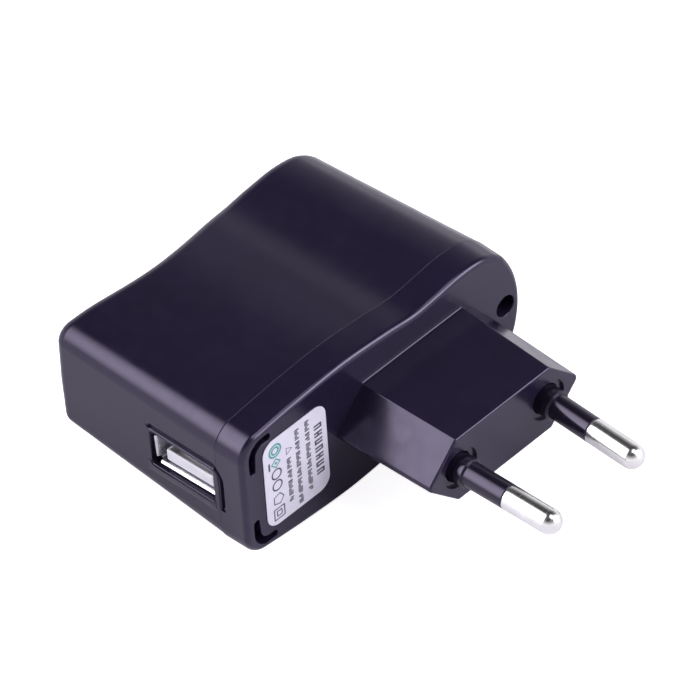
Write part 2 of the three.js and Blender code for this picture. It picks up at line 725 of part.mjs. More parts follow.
const electronics = new THREE.Group();
add(electronics, "circuit_board", circuitBoard(), laminate);
const transformer = new THREE.Group();
transformer.position.set(-40.5, -7, HANG - TRANSFORMER.half);
add(transformer, "transformer_core_upper", ferriteHalf(1), ferrite);
add(transformer, "transformer_core_lower", ferriteHalf(-1), ferrite);
add(transformer, "transformer_bobbin", transformerBobbin(), bobbinPlastic);
add(transformer, "transformer_winding", transformerWinding(), windingTape);
electronics.add(transformer);
add(electronics, "input_capacitor", canCapacitor(4, 12), canSleeve, [-46.5, 9, HANG]);
add(electronics, "output_capacitor", canCapacitor(4, 11.5), canSleeve, [-45, -27, HANG]);
[4.8, 8.3, 11.8, 15.3].forEach((y, i) => {
  add(electronics, `rectifier_diode_${i + 1}`, axialPart(1.3, 5, 2.8), epoxy, [-36.5, y - 1.2, HANG - 2.9]);
});
add(electronics, "fusible_resistor", axialPart(1.5, 8.5, 3.2), resistorPaint, [-29.3, 9.4, HANG - 3.3], Math.PI / 2);
add(electronics, "startup_resistor", axialPart(1.15, 6, 2.8), resistorPaint, [-29.2, -6.1, HANG - 2.9], Math.PI / 2);
add(electronics, "load_resistor", axialPart(1.15, 6, 2.8), resistorPaint, [-45, -17.3, HANG - 2.9]);
add(electronics, "output_diode", axialPart(1.35, 5, 2.8), epoxy, [-43, -21, HANG - 2.9]);
add(electronics, "interference_capacitor", discCapacitor(), ceramic, [-50.3, -8, HANG - 5.1]);
add(electronics, "optocoupler", optocoupler(), epoxy, [-29.8, -15.5, HANG - 0.6]);
add(electronics, "switching_transistor", transistor(), epoxy, [-30, 1, HANG - 2.6]);
charger.add(electronics);

const bounds = new THREE.Box3().setFromObject(charger);
const middle = bounds.getCenter(new THREE.Vector3());
charger.position.set(-middle.x, -middle.y, -bounds.min.z);

const part = new THREE.Group();
part.add(charger);

export default part;
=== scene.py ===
"""A USB wall charger with a two-pin European plug, lying on its long side on a pale floor.

Shapes are made in millimetres about the middle of the plug block's front face, with +X out of the
plug face along the pins, +Y from the USB end to the screw end and +Z up. TO_ROW then takes each
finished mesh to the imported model's frame, in metres.
"""

import json
import math

import bmesh
import bpy
from mathutils import Matrix, Vector


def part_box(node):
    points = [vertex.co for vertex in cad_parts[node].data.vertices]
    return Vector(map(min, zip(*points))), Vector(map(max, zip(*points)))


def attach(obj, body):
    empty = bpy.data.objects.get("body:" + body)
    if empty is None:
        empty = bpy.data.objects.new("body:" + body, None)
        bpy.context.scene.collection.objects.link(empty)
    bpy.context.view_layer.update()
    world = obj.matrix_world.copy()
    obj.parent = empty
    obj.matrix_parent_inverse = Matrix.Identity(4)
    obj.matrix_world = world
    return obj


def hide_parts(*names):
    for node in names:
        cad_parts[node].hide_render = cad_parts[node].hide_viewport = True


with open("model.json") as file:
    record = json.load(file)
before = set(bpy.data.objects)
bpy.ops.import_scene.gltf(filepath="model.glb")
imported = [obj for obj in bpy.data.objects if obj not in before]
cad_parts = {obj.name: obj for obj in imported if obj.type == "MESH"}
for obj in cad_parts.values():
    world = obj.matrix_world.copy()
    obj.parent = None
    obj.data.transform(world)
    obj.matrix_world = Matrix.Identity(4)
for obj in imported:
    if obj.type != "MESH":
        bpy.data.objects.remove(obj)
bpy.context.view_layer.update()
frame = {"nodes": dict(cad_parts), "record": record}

MM = 0.001
HALF_TURN = math.pi
QUARTER = math.pi / 2
WELD = 1e-4
SLIVER = 1e-5

_, cover_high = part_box("front_cover")
live_low, live_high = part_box("live_pin_sleeve")
neutral_low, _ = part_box("neutral_pin_sleeve")
ORIGIN = Vector(
    (cover_high.x, (live_high.y + neutral_low.y) / 2, (live_high.z + live_low.z) / 2)
)
TO_ROW = Matrix.Translation(ORIGIN) @ Matrix.Scale(MM, 4)

# Plug pins
PIN_LENGTH = 19
PIN_RADIUS = 2
PIN_ROOT_Y = 9.3
PIN_TIP_Y = 8.75
PIN_TURN = math.atan2(PIN_ROOT_Y - PIN_TIP_Y, PIN_LENGTH)
PIN_CORE_RADIUS = 1.35
PIN_TAIL_X = -12
PIN_TAIL_RADIUS = 0.9
PIN_HOLDER_RADIUS = 3.7
PIN_HOLE_RADIUS = 2.6
PIN_RECESS_RADIUS = 3.45
PIN_RECESS_DEPTH = 0.5
SLEEVE_END = 9.4
SLEEVE_START = -8
SLEEVE_BORE = 1.5
COLLAR_RADIUS = 2.4
COLLAR_END = 1.9

# Plug block, a hexagonal prism with its points at mid height: (flat, width, height), halved
BLOCK_DEPTH = 18.23
BLOCK_FRONT = (9.95, 15.7, 6.16)
BLOCK_ROOT = (10.66, 16.4, 6.39)
BLOCK_EDGE = 0.35
BLOCK_POINT_RADIUS = 0.9
BLOCK_ROOT_FILLET = 0.55
BLOCK_WALL = 1.7
BLOCK_FRONT_WALL = 2.5

# Housing
NEAR_Y = -35.5
FAR_Y = 23
FAR_END_RADIUS = 17.3
FAR_END_HALF = 9.6
HALF_HEIGHT = 12.92
CORNER_RADIUS = 4
CORNER_Z = 7.62
WALL = 1.6
COVER_DEPTH = 5.3
COVER_PLATE = 1.8
COVER_DRAFT = math.tan(math.radians(1.5))
COVER_EDGE = 0.92
LIP_GAP = 0.3
LIP_WALL = 0.8
LIP_DEPTH = 2
SEAM_STEP = 0.1
SEAM_GAP = 0.07
SEAM_EDGE = 0.1
SHELL_DEPTH = 34
SHELL_DRAFT = math.tan(math.radians(1.4))
FAR_TAPER = 1.5
BACK_FLATTENING = 0.5
CORNER_SOFTENING = 0.42
BACK_EDGE = 2
BACK_CROWN = 0.25
BACK_SPINE = (-25, 12)
PLUG_FACE = -BLOCK_DEPTH
SEAM = PLUG_FACE - COVER_DEPTH

# Screw
SCREW_Y = 19.75
SCREW_WELL_RADIUS = 1.85
SCREW_HEAD_RADIUS = 1.6
SCREW_HEAD_HEIGHT = 1.3
SCREW_REST_GAP = 0.05
SCREW_RADIUS = 1.1
SCREW_PITCH = 0.8
THREAD_DEPTH = 0.25
THREAD_END_GAP = 0.8
SCREW_TIP = 1.5
CROSS_DEPTH = 0.8
CROSS_LONG = (-1.05, 1.05)
CROSS_SHORT = (-0.26, 0.26)
SCREW_SEAT = SEAM + 1.3
SCREW_LENGTH = 9
POST_RADIUS = 2.7
POST_BACK = -52

# USB-A receptacle
USB_X = -31.12
USB_Z = -0.65
USB_FRONT_Y = NEAR_Y + 0.85
USB_WIDTH = 12.8
USB_HEIGHT = 5.7
USB_LENGTH = 14
USB_SHEET = 0.3
FLAP_BEND = 0.7
FLAP_SWEEP = math.radians(60)
FLAP_NOTCH = 0.75
TAB_X = 3.2
TAB_HALF_WIDTH = 1.35
TAB_SLIT = 0.25
TAB_FRONT = 2.6
TAB_BACK = 8.5
PORT_X = -31.25
PORT_Z = -0.65
PORT_WIDTH = 13.4
PORT_HEIGHT = 6.5
PORT_LIP = 0.2
PORT_ROLL = 0.06
GROOVE_HALF_WIDTH = 0.78
GROOVE_DEPTH = 0.5
GROOVE_LIFT = 1.2
BEAD_HEIGHT = 0.22
TONGUE_WIDTH = 9.6
TONGUE_HEIGHT = 2.1
TONGUE_Z = -1.22
TRAY_DEPTH = 1.2
WINDOW_DEPTH = 1.5
TRAY_FRONT = 0.95
CONTACT_OFFSETS = (-3.5, -1, 1, 3.5)
CONTACT_WIDTH = 1

# Label, slots and board
LABEL_Y = -24.85
LABEL_Z = 0.2
LABEL_WIDTH = 13
LABEL_HEIGHT = 17
LABEL_RADIUS = 2.3
LABEL_GAP = 0.03
LABEL_THICKNESS = 0.12
LABEL_FACE = PLUG_FACE + LABEL_GAP + LABEL_THICKNESS
INK_HEIGHT = 0.02
HEADING_Y = -20.15
TEXT_HEIGHT = 0.9
TEXT_ROWS = ((-22.3, 7.6, -6.5), (-24.4, 7.4, -7.3), (-26.3, 3, -5.6))
ICON_Y = -28.9
SLOT_WIDTH = 1.3
SLOT_Y = -33.3
SLOT_Z = 9.9
SLOT_BEND = 2.35
SLOT_END_Y = -29.4
SLOT_END_Z = 4.7
BOARD_BACK = -52.3
BOARD_FRONT = -25.6
BOARD_NEAR = -32.8
BOARD_BOTTOM = 2.85
BOARD_TOP = 3.95
RAIL_GAP = 0.3
RAIL_SIZE = 1.2


# ---- outlines ----


def lerp(a, b, t):
    return a + (b - a) * t


def smoothstep(value, low, high):
    t = min(max((value - low) / (high - low), 0), 1)
    return t * t * (3 - 2 * t)


def arc(centre, radius, start, end, steps):
    angles = [lerp(start, end, i / steps) for i in range(steps + 1)]
    return [
        (centre[0] + radius * math.cos(a), centre[1] + radius * math.sin(a))
        for a in angles
    ]


def spline(points, steps):
    """A uniform Catmull-Rom curve through the points, with that many steps in each span."""

    def blend(a, b, c, d, t):
        square = (2 * a - 5 * b + 4 * c - d) * t * t
        return 0.5 * (2 * b + (c - a) * t + square + (3 * b - a - 3 * c + d) * t**3)

    ends = [points[0], *points, points[-1]]
    curve = []
    for span in zip(ends, ends[1:], ends[2:], ends[3:]):
        for i in range(steps):
            curve.append(tuple(blend(*axis, i / steps) for axis in zip(*span)))
    return [*curve, points[-1]]


def whole(upper):
    """The outline of a shape that is symmetric about its first axis, from its upper half."""
    return [*upper, *[(a, -b) for a, b in reversed(upper[1:-1])]]


def grown(outline, distance):
    """Moves an outline's points outwards along their normals."""
    count = len(outline)
    area = sum(
        outline[i - 1][0] * outline[i][1] - outline[i][0] * outline[i - 1][1]
        for i in range(count)
    )
    reach = -math.copysign(distance, area * distance) if distance else 0
    moved = []
    for i, (a, b) in enumerate(outline):
        before = outline[i - 1]
        after = outline[(i + 1) % count]
        along = Vector((after[0] - before[0], after[1] - before[1])).normalized()
        moved.append((a - along.y * reach, b + along.x * reach))
    return moved


def rounded_rectangle(width, height, radius, steps, centre):
    x = width / 2 - radius
    y = height / 2 - radius
    corners = [(x, y), (-x, y), (-x, -y), (x, -y)]
    points = []
    for i, corner in enumerate(corners):
        points += arc(corner, radius, i * QUARTER, (i + 1) * QUARTER, steps)
    return [(a + centre[0], b + centre[1]) for a, b in points]


def circle(radius, steps, centre):
    return arc(centre, radius, 0, 2 * HALF_TURN, steps)[:-1]


# ---- meshes, in millimetres ----


def along_x(a, b, c):
    return (c, a, b)


def along_y(a, b, c):
    return (a, c, b)


def along_z(a, b, c):
    return (a, b, c)


def vertex_rows(mesh, rows):
    return [[mesh.verts.new(point) for point in row] for row in rows]


def bridge(mesh, pairs):
    """Makes a band of faces between each pair of closed rings of equal length."""
    for low, high in pairs:
        for i in range(len(low)):
            j = (i + 1) % len(low)
            mesh.faces.new((low[i], low[j], high[j], high[i]))


def welded(mesh, clean=True):
    """The mesh with its doubled points merged and its faces turned outwards."""
    bmesh.ops.remove_doubles(mesh, verts=mesh.verts, dist=WELD)
    if clean:
        bmesh.ops.dissolve_degenerate(mesh, edges=mesh.edges, dist=SLIVER)
    bmesh.ops.recalc_face_normals(mesh, faces=mesh.faces)
    if mesh.calc_volume(signed=True) < 0:
        bmesh.ops.reverse_faces(mesh, faces=mesh.faces)
    return mesh


def skin(rings, closed=False):
    """A mesh through rings of equal length.

    It ends in flat caps, or joins its last ring to its first if closed.
    """
    mesh = bmesh.new()
    made = vertex_rows(mesh, rings)
    pairs = list(zip(made, made[1:]))
    if closed:
        pairs.append((made[-1], made[0]))
    else:
        mesh.faces.new(reversed(made[0]))
        mesh.faces.new(made[-1])
    bridge(mesh, pairs)
    return welded(mesh, clean=False)


def cup(outer, inner):
    """A cup from rings that go from the middle of its outside to its rim, and of its inside."""
    mesh = bmesh.new()
    made = vertex_rows(mesh, [*outer, *reversed(inner)])
    bridge(mesh, zip(made, made[1:]))
    return welded(mesh)


def stack(levels, axis):
    """A solid through (outline, height) levels whose heights lie along the axis."""
    return skin([[axis(a, b, height) for a, b in outline] for outline, height in levels])


def plate(outline, low, high, axis, edge=0.0):
    """An extruded outline with its rims rounded by edge."""
    if not edge:
        return stack([(outline, low), (outline, high)], axis)
    angles = [QUARTER * i / 3 for i in range(4)]
    rim = [(edge * (1 - math.sin(a)), edge * (1 - math.cos(a))) for a in angles]
    levels = [(grown(outline, -inset), low + rise) for inset, rise in rim]
    levels += [(grown(outline, -inset), high - rise) for inset, rise in reversed(rim)]
    return stack(levels, axis)


def well_cutter(outline, face, depth, lip, axis, outward=1):
    """A cutter for a hole into a flat face, flared so that the hole's lip comes out rounded."""
    angles = [QUARTER * i / 5 for i in range(6)]
    levels = [(outline, face - outward * depth)]
    for a in angles:
        spread = lip * (1 - math.cos(a))
        levels.append((grown(outline, spread), face - outward * lip * (1 - math.sin(a))))
    levels.append((grown(outline, lip), face + outward))
    return stack(levels, axis)


def turned(profile, segments):
    """A solid of revolution about X from (x, radius) points.

    Both ends of the profile lie on the axis, or it is closed and the solid is a tube.
    """
    rows = []
    for i in range(segments):
        angle = 2 * HALF_TURN * i / segments
        rows.append([(x, r * math.cos(angle), r * math.sin(angle)) for x, r in profile])
    mesh = bmesh.new()
    made = vertex_rows(mesh, rows)
    for i, row in enumerate(made):
        following = made[(i + 1) % segments]
        for k in range(len(profile) - 1):
            mesh.faces.new((row[k], row[k + 1], following[k + 1], following[k]))
    return welded(mesh)


def rod_x(low, high, radius, y=0.0):
    return plate(circle(radius, 48, (y, 0)), low, high, along_x)


def block_of(x, y, z):
    outline = [(y[0], z[0]), (y[1], z[0]), (y[1], z[1]), (y[0], z[1])]
    return plate(outline, x[0], x[1], along_x)


def rounded(profile, edge):
    """Rounds the inner corners of an open (x, radius) profile by edge."""
    steps = 4
    points = [Vector(p) for p in profile]
    smooth = [profile[0]]
    for before, corner, after in zip(points, points[1:], points[2:]):
        size = min(edge, (corner - before).length / 2.1, (after - corner).length / 2.1)
        start = corner + (before - corner).normalized() * size
        end = corner + (after - corner).normalized() * size
        for i in range(steps + 1):
            t = i / steps
            point = start.lerp(corner, t).lerp(corner.lerp(end, t), t)
            smooth.append((point.x, point.y))
    return [*smooth, profile[-1]]


def at_pin(mesh, side):
    """Puts a mesh made about X where a pin stands. side is 1 for the pin at +Y and -1 at -Y."""
    turn = Matrix.Rotation(-side * PIN_TURN, 4, "Z")
    mesh.transform(Matrix.Translation((0, side * PIN_ROOT_Y, 0)) @ turn)
    return mesh


# ---- joining, cutting and naming pieces ----


def hold(mesh, name="tool"):
    data = bpy.data.meshes.new(name)
    mesh.to_mesh(data)
    mesh.free()
    held = bpy.data.objects.new(name, data)
    bpy.context.scene.collection.objects.link(held)
    return held


def let_go(held):
    """A held object's mesh. The object is removed."""
    mesh = bmesh.new()
    mesh.from_mesh(held.data)
    bpy.data.meshes.remove(held.data)
    return mesh


def combine(body, operation, tools):
    """Applies one boolean after another to a held object and removes the tools."""
    for mesh in tools:
        tool = hold(mesh)
        modifier = body.modifiers.new(operation, "BOOLEAN")
        modifier.operation = operation
        modifier.solver = "MANIFOLD"
        modifier.object = tool
        evaluated = body.evaluated_get(bpy.context.evaluated_depsgraph_get())
        result = bpy.data.meshes.new_from_object(evaluated)
        body.modifiers.remove(modifier)
        old = body.data
        body.data = result
        bpy.data.meshes.remove(old)
        bpy.data.meshes.remove(tool.data)
    return body


def join(body, *tools):
    return combine(body, "UNION", tools)


def cut(body, *tools):
    return combine(body, "DIFFERENCE", tools)


def piece(held, name, slot, *nodes, sharp=32):
    """Makes a held object, in millimetres, a finished piece that stands for the CAD nodes."""
    held.name = name
    held.data.name = name
    held.data.transform(TO_ROW)
    held.data.polygons.foreach_set("use_smooth", [True] * len(held.data.polygons))
    held.data.set_sharp_from_angle(angle=math.radians(sharp))
    held.data.materials.clear()
    held.data.materials.append(MATERIALS[slot])
    weighted = held.modifiers.new("Weighted normals", "WEIGHTED_NORMAL")
    weighted.keep_sharp = True
    weighted.weight = 80
    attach(held, "root")
    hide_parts(*nodes)
    return held


# ---- housing ----


def housing_outline():
    """The housing's outline at the plug face, as (y, z), with a waist between two swells."""
    near = arc(
        (NEAR_Y + CORNER_RADIUS, CORNER_Z), CORNER_RADIUS, HALF_TURN, 0.53 * HALF_TURN, 18
    )
    far_start = math.asin(FAR_END_HALF / FAR_END_RADIUS)
    far = arc((FAR_Y - FAR_END_RADIUS, 0), FAR_END_RADIUS, far_start, 0, 24)
    side = spline(
        [
            near[-1],
            (-24, 12.4),
            (-14, HALF_HEIGHT),
            (-5, 12.35),
            (1, 11.72),
            (6, 12.1),
            (11, 12.65),
            (15.5, 12.32),
            (18.3, 11.1),
            far[0],
        ],
        10,
    )
    return whole([(NEAR_Y, 0), *near, *side[1:-1], *far])


def back_x(y):
    """The X of the back face along Y. It is hollow near the USB end and bulges beyond."""
    extremes = [(-36, -58.2), (-15, -55.5), (4.5, -57.7), (24, -57)]
    for (y0, x0), (y1, x1) in zip(extremes, extremes[1:]):
        if y <= y1:
            break
    return lerp(x0, x1, smoothstep(y, y0, y1))


def shell_outline(depth, inset):
    """The rear shell's outline that deep behind the seam. It narrows and softens on its way."""
    size = COVER_DEPTH * COVER_DRAFT - SEAM_STEP - depth * SHELL_DRAFT - inset
    shorter = FAR_TAPER * depth / (SHELL_DEPTH * FAR_Y)
    flatter = 1 - BACK_FLATTENING * depth / (SHELL_DEPTH * HALF_HEIGHT)
    points = []
    for y, z in grown(HOUSING, size):
        at_corner = smoothstep(-y, 27, 35) * smoothstep(abs(z), 4, 12)
        softer = CORNER_SOFTENING * at_corner * depth / SHELL_DEPTH
        shifted_y = y - max(y, 0) * shorter + softer
        points.append((shifted_y, z * flatter - math.copysign(softer, z)))
    return points


def shell_rings(front, inset, edge):
    """Rings from the middle of the back face, round its edge and forward to the front plane."""
    flat_depth = SHELL_DEPTH - BACK_EDGE
    rings = []
    border = shell_outline(flat_depth, inset + edge)
    for t in (0, 0.2, 0.4, 0.6, 0.8, 0.93):
        ring = []
        for y, z in border:
            middle = min(max(y, BACK_SPINE[0]), BACK_SPINE[1])
            across = lerp(middle, y, t)
            crown = BACK_CROWN * (1 - t * t)
            ring.append((back_x(across) + inset - crown, across, z * t))
        rings.append(ring)
    for i in range(9):
        angle = QUARTER * (1 - i / 8)
        outline = shell_outline(flat_depth, inset + edge * (1 - math.cos(angle)))
        forward = inset + edge * (1 - math.sin(angle))
        rings.append([(back_x(y) + forward, y, z) for y, z in outline])
    last = rings[-1]
    for t in (0.25, 0.5, 0.75, 1):
        outline = shell_outline(lerp(flat_depth, 0, t), inset)
        rings.append(
            [(lerp(old[0], front, t), y, z) for old, (y, z) in zip(last, outline)]
        )
    return rings


def end_wall_y(x):
    """The outside of the drafted wall at the USB end."""
    return NEAR_Y - COVER_DEPTH * COVER_DRAFT + SEAM_STEP + (SEAM - x) * SHELL_DRAFT


def usb_port_cutter():
    """The hole for the receptacle, with a rounded lip that follows the drafted end wall."""
    mouth = rounded_rectangle(PORT_WIDTH, PORT_HEIGHT, 0.35, 6, (PORT_X, PORT_Z))
    cutter = well_cutter(mouth, 0, 3, PORT_LIP, along_y, -1)
    for vertex in cutter.verts:
        vertex.co.z += PORT_ROLL * (vertex.co.x - PORT_X)
        vertex.co.y += end_wall_y(vertex.co.x)
    return cutter


def port_bead():
    """A low swelling of the wall under the port."""
    section = [(0.6, 0.3), (-1, 0.3), (-1, 0), (-0.85, -0.35), (-0.55, -0.75)]
    section += [(-0.25, -1.15), (-0.05, -1.5), (0.1, -1.7), (0.6, -1.7)]
    rings = []
    steps = 24
    for i in range(steps + 1):
        along = lerp(-PORT_WIDTH / 2 - 0.8, PORT_WIDTH / 2 + 0.2, i / steps)
        proud = BEAD_HEIGHT * smoothstep(i, -1, 4) * smoothstep(steps - i, -1, 2)
        x = PORT_X + along
        z = PORT_Z - PORT_HEIGHT / 2 + PORT_ROLL * along
        ring = []
        for out, up in section:
            reach = out * proud if out < 0 else out
            ring.append((x, end_wall_y(x) + reach, z + up))
        rings.append(ring)
    return skin(rings)


def port_groove():
    """The soft groove along the port's upper side and down beside its front corner."""
    rim = PORT_Z + PORT_HEIGHT / 2 + GROOVE_LIFT
    left = PORT_X - PORT_WIDTH / 2 - 0.7
    right = SEAM + 0.7
    path = spline(
        [
            (left, rim + PORT_ROLL * (left - PORT_X)),
            (left + 3, rim + PORT_ROLL * (left + 3 - PORT_X)),
            (PORT_X + 3, rim + PORT_ROLL * 3),
            (SEAM - 1.6, rim + PORT_ROLL * 6.1),
            (SEAM - 0.4, rim + 0.05),
            (right - 0.2, rim - 1.1),
            (right, rim - 2.4),
            (right, -4.1),
        ],
        7,
    )
    # Sections, as (across, deep): rimmed has a convex rim on the port's side, and soft has none
    rimmed = [(-1.25, -0.3), (-1.23, 0), (-1.1, 0.05), (-0.98, 0.18), (-0.9, 0.37)]
    rimmed += [(-0.88, 0.95), (-0.75, 1), (-0.35, 0.8), (0.1, 0.5), (0.6, 0.18)]
    rimmed += [(0.98, 0), (1, -0.3)]
    soft = [(-0.72, -0.3), (-0.7, 0), (-0.62, 0.12), (-0.5, 0.5), (-0.42, 1)]
    soft += [(-0.25, 1.5), (0.1, 1.55), (0.3, 1.2), (0.42, 0.65), (0.55, 0.2)]
    soft += [(0.7, 0), (0.72, -0.3)]
    rings = []
    for i, (x, z) in enumerate(path):
        before = path[max(i - 1, 0)]
        after = path[min(i + 1, len(path) - 1)]
        along = Vector((after[0] - before[0], 0, after[1] - before[1])).normalized()
        across = along.cross(Vector((0, 1, 0)))
        fade = smoothstep(i, -1, 3) * smoothstep(len(path) - i, 0, 2)
        turning = smoothstep(x, SEAM - 2, SEAM + 0.5)
        ring = []
        for (u0, v0), (u1, v1) in zip(rimmed, soft):
            reach = GROOVE_HALF_WIDTH * lerp(0.6, 1, fade) * lerp(u0, u1, turning)
            deep = GROOVE_DEPTH * fade * max(lerp(v0, v1, turning), -1)
            ring.append(Vector((x, end_wall_y(x) + deep, z)) + across * reach)
        rings.append(ring)
    return skin(rings)


def rear_shell():
    rim = SEAM - SEAM_GAP
    outer = shell_rings(rim - SEAM_EDGE, 0, BACK_EDGE)
    for i in range(1, 5):
        angle = QUARTER * i / 4
        outline = shell_outline(0, SEAM_EDGE * (1 - math.cos(angle)))
        x = rim - SEAM_EDGE * (1 - math.sin(angle))
        outer.append([(x, y, z) for y, z in outline])
    inner = shell_rings(rim, WALL, BACK_EDGE - WALL / 2)
    shell = hold(cup(outer, inner))
    wall_middle = shell_rings(rim, WALL / 2, BACK_EDGE - WALL / 4)
    rim_middle = [(rim, 0, 0)] * len(wall_middle[0])
    post = hold(rod_x(POST_BACK, rim, POST_RADIUS, SCREW_Y))
    join(post, block_of((POST_BACK, rim), (SCREW_Y, SCREW_Y + 2.5), (-1, 1)))
    combine(post, "INTERSECT", [cup(wall_middle, [rim_middle])])
    rail_y = (NEAR_Y + WALL / 2, BOARD_NEAR + RAIL_SIZE)
    rail_back = BOARD_BACK + 2
    upper = (BOARD_TOP + RAIL_GAP, BOARD_TOP + RAIL_GAP + RAIL_SIZE)
    lower = (BOARD_BOTTOM - RAIL_GAP - RAIL_SIZE, BOARD_BOTTOM - RAIL_GAP)
    before_port = USB_X - USB_WIDTH / 2 - 0.6
    join(
        shell,
        port_bead(),
        let_go(post),
        block_of((rail_back, BOARD_FRONT - 1.5), rail_y, upper),
        block_of((rail_back, before_port), rail_y, lower),
    )
    pilot_end = SCREW_SEAT - SCREW_LENGTH - 1
    cut(
        shell,
        rod_x(pilot_end, SEAM + 1, SCREW_RADIUS + 0.15, SCREW_Y),
        usb_port_cutter(),
        port_groove(),
    )
    return piece(shell, "housing_rear", "black_plastic", "rear_shell")


# ---- front cover ----


def block_outline(size):
    """A hexagon with its corners rounded, more at the two points."""
    flat, width, height = size
    radius = BLOCK_EDGE
    point_x = width - BLOCK_POINT_RADIUS
    reach = math.hypot(point_x - flat, height)
    slope = math.atan2(height, point_x - flat) - math.asin(BLOCK_POINT_RADIUS / reach)
    flat_x = flat - radius * math.tan(slope / 2)
    corner = arc((flat_x, height - radius), radius, QUARTER, QUARTER - slope, 6)
    point = arc((point_x, 0), BLOCK_POINT_RADIUS, QUARTER - slope, 0, 8)
    far = [*corner, *point]
    near = [(-a, b) for a, b in reversed(far)]
    return whole([*near, *far])


def filleted(outline, spread):
    """The outline grown up and down along its two flats only."""
    lifted = []
    for y, z in outline:
        along_flat = 1 - smoothstep(abs(y), BLOCK_ROOT[0] - 0.6, BLOCK_ROOT[0] + 0.3)
        lifted.append((y, z + math.copysign(spread * along_flat, z)))
    return lifted


def plug_block():
    root = block_outline(BLOCK_ROOT)
    front = block_outline(BLOCK_FRONT)
    root_x = PLUG_FACE - COVER_PLATE / 2

    def between(x):
        t = (x - root_x) / (-BLOCK_EDGE - root_x)
        return [(lerp(a, c, t), lerp(b, d, t)) for (a, b), (c, d) in zip(root, front)]

    levels = [(between(root_x), root_x)]
    for i in range(6):
        angle = QUARTER * (1 - i / 5)
        x = PLUG_FACE + BLOCK_ROOT_FILLET * (1 - math.sin(angle))
        spread = BLOCK_ROOT_FILLET * (1 - math.cos(angle))
        if i == 0:
            levels.append((filleted(between(root_x), spread), root_x + 0.01))
        levels.append((filleted(between(x), spread), x))
    for i in range(6):
        angle = QUARTER * i / 5
        inset = BLOCK_EDGE * (1 - math.cos(angle))
        levels.append((grown(front, -inset), -BLOCK_EDGE * (1 - math.sin(angle))))
    return stack(levels, along_x)


def plug_block_hollow():
    back = grown(block_outline(BLOCK_ROOT), -BLOCK_WALL)
    front = grown(block_outline(BLOCK_FRONT), -BLOCK_WALL)
    return stack([(back, SEAM), (front, -BLOCK_FRONT_WALL)], along_x)


def slot_cutter(side):
    """An L-shaped slot round one of the label's two corners at the USB end."""
    half = SLOT_WIDTH / 2
    centre = (SLOT_Y + SLOT_BEND, SLOT_Z - SLOT_BEND)
    upper = [
        *arc((SLOT_Y, SLOT_END_Z + half), half, 1.75 * HALF_TURN, HALF_TURN, 6),
        *arc(centre, SLOT_BEND + half, HALF_TURN, QUARTER, 10),
        *arc((SLOT_END_Y - half, SLOT_Z), half, QUARTER, -QUARTER, 6),
        *arc(centre, SLOT_BEND - half, QUARTER, HALF_TURN, 8),
    ]
    outline = [(y, side * z) for y, z in upper]
    return well_cutter(outline, PLUG_FACE, COVER_DEPTH + LIP_DEPTH + 1, 0.12, along_x)


def cover_loft():
    def size(x):
        return (PLUG_FACE - x) * COVER_DRAFT

    levels = []
    for i in range(5):
        angle = QUARTER * (1 - i / 4)
        x = SEAM + SEAM_EDGE * (1 - math.sin(angle))
        levels.append((grown(HOUSING, size(x) - SEAM_EDGE * (1 - math.cos(angle))), x))
    middle = (SEAM + PLUG_FACE) / 2
    levels.append((grown(HOUSING, size(middle)), middle))
    for i in range(9):
        angle = QUARTER * i / 8
        x = PLUG_FACE - COVER_EDGE * (1 - math.sin(angle))
        levels.append((grown(HOUSING, size(x) - COVER_EDGE * (1 - math.cos(angle))), x))
    return stack(levels, along_x)


def front_cover():
    inside = -WALL - LIP_GAP
    lip = grown(HOUSING, inside)
    hollow = grown(HOUSING, inside - LIP_WALL)
    cover = hold(cover_loft())
    join(cover, plate(lip, SEAM - LIP_DEPTH, PLUG_FACE - COVER_PLATE / 2, along_x))
    relief = (SEAM - LIP_DEPTH - 1, SEAM + 0.2)
    cut(
        cover,
        plate(hollow, SEAM - LIP_DEPTH - 1, PLUG_FACE - COVER_PLATE, along_x),
        block_of(relief, (SCREW_Y - 3.5, FAR_Y - WALL - 0.15), (-4, 4)),
        block_of(relief, (NEAR_Y + WALL + 0.15, SLOT_Y + 1.3), (-4.43, 4.43)),
    )
    join(cover, plug_block())
    cut(cover, plug_block_hollow())
    holders = [
        at_pin(rod_x(SLEEVE_START + 0.5, -1.5, PIN_HOLDER_RADIUS), side)
        for side in (-1, 1)
    ]
    join(cover, rod_x(SEAM + 0.2, PLUG_FACE - 0.5, POST_RADIUS, SCREW_Y), *holders)
    well = circle(SCREW_WELL_RADIUS, 48, (SCREW_Y, 0))
    cut(
        cover,
        well_cutter(well, PLUG_FACE, PLUG_FACE - SCREW_SEAT, 0.18, along_x),
        rod_x(SEAM - 1, SCREW_SEAT + 0.5, SCREW_RADIUS + 0.2, SCREW_Y),
        slot_cutter(1),
        slot_cutter(-1),
        port_groove(),
    )
    for side in (-1, 1):
        recess = circle(PIN_RECESS_RADIUS, 64, (side * PIN_ROOT_Y, 0))
        cut(
            cover,
            well_cutter(recess, 0, PIN_RECESS_DEPTH, 0.1, along_x),
            at_pin(rod_x(PIN_TAIL_X, 2, PIN_HOLE_RADIUS), side),
        )
    return piece(cover, "housing_front", "black_plastic", "front_cover")


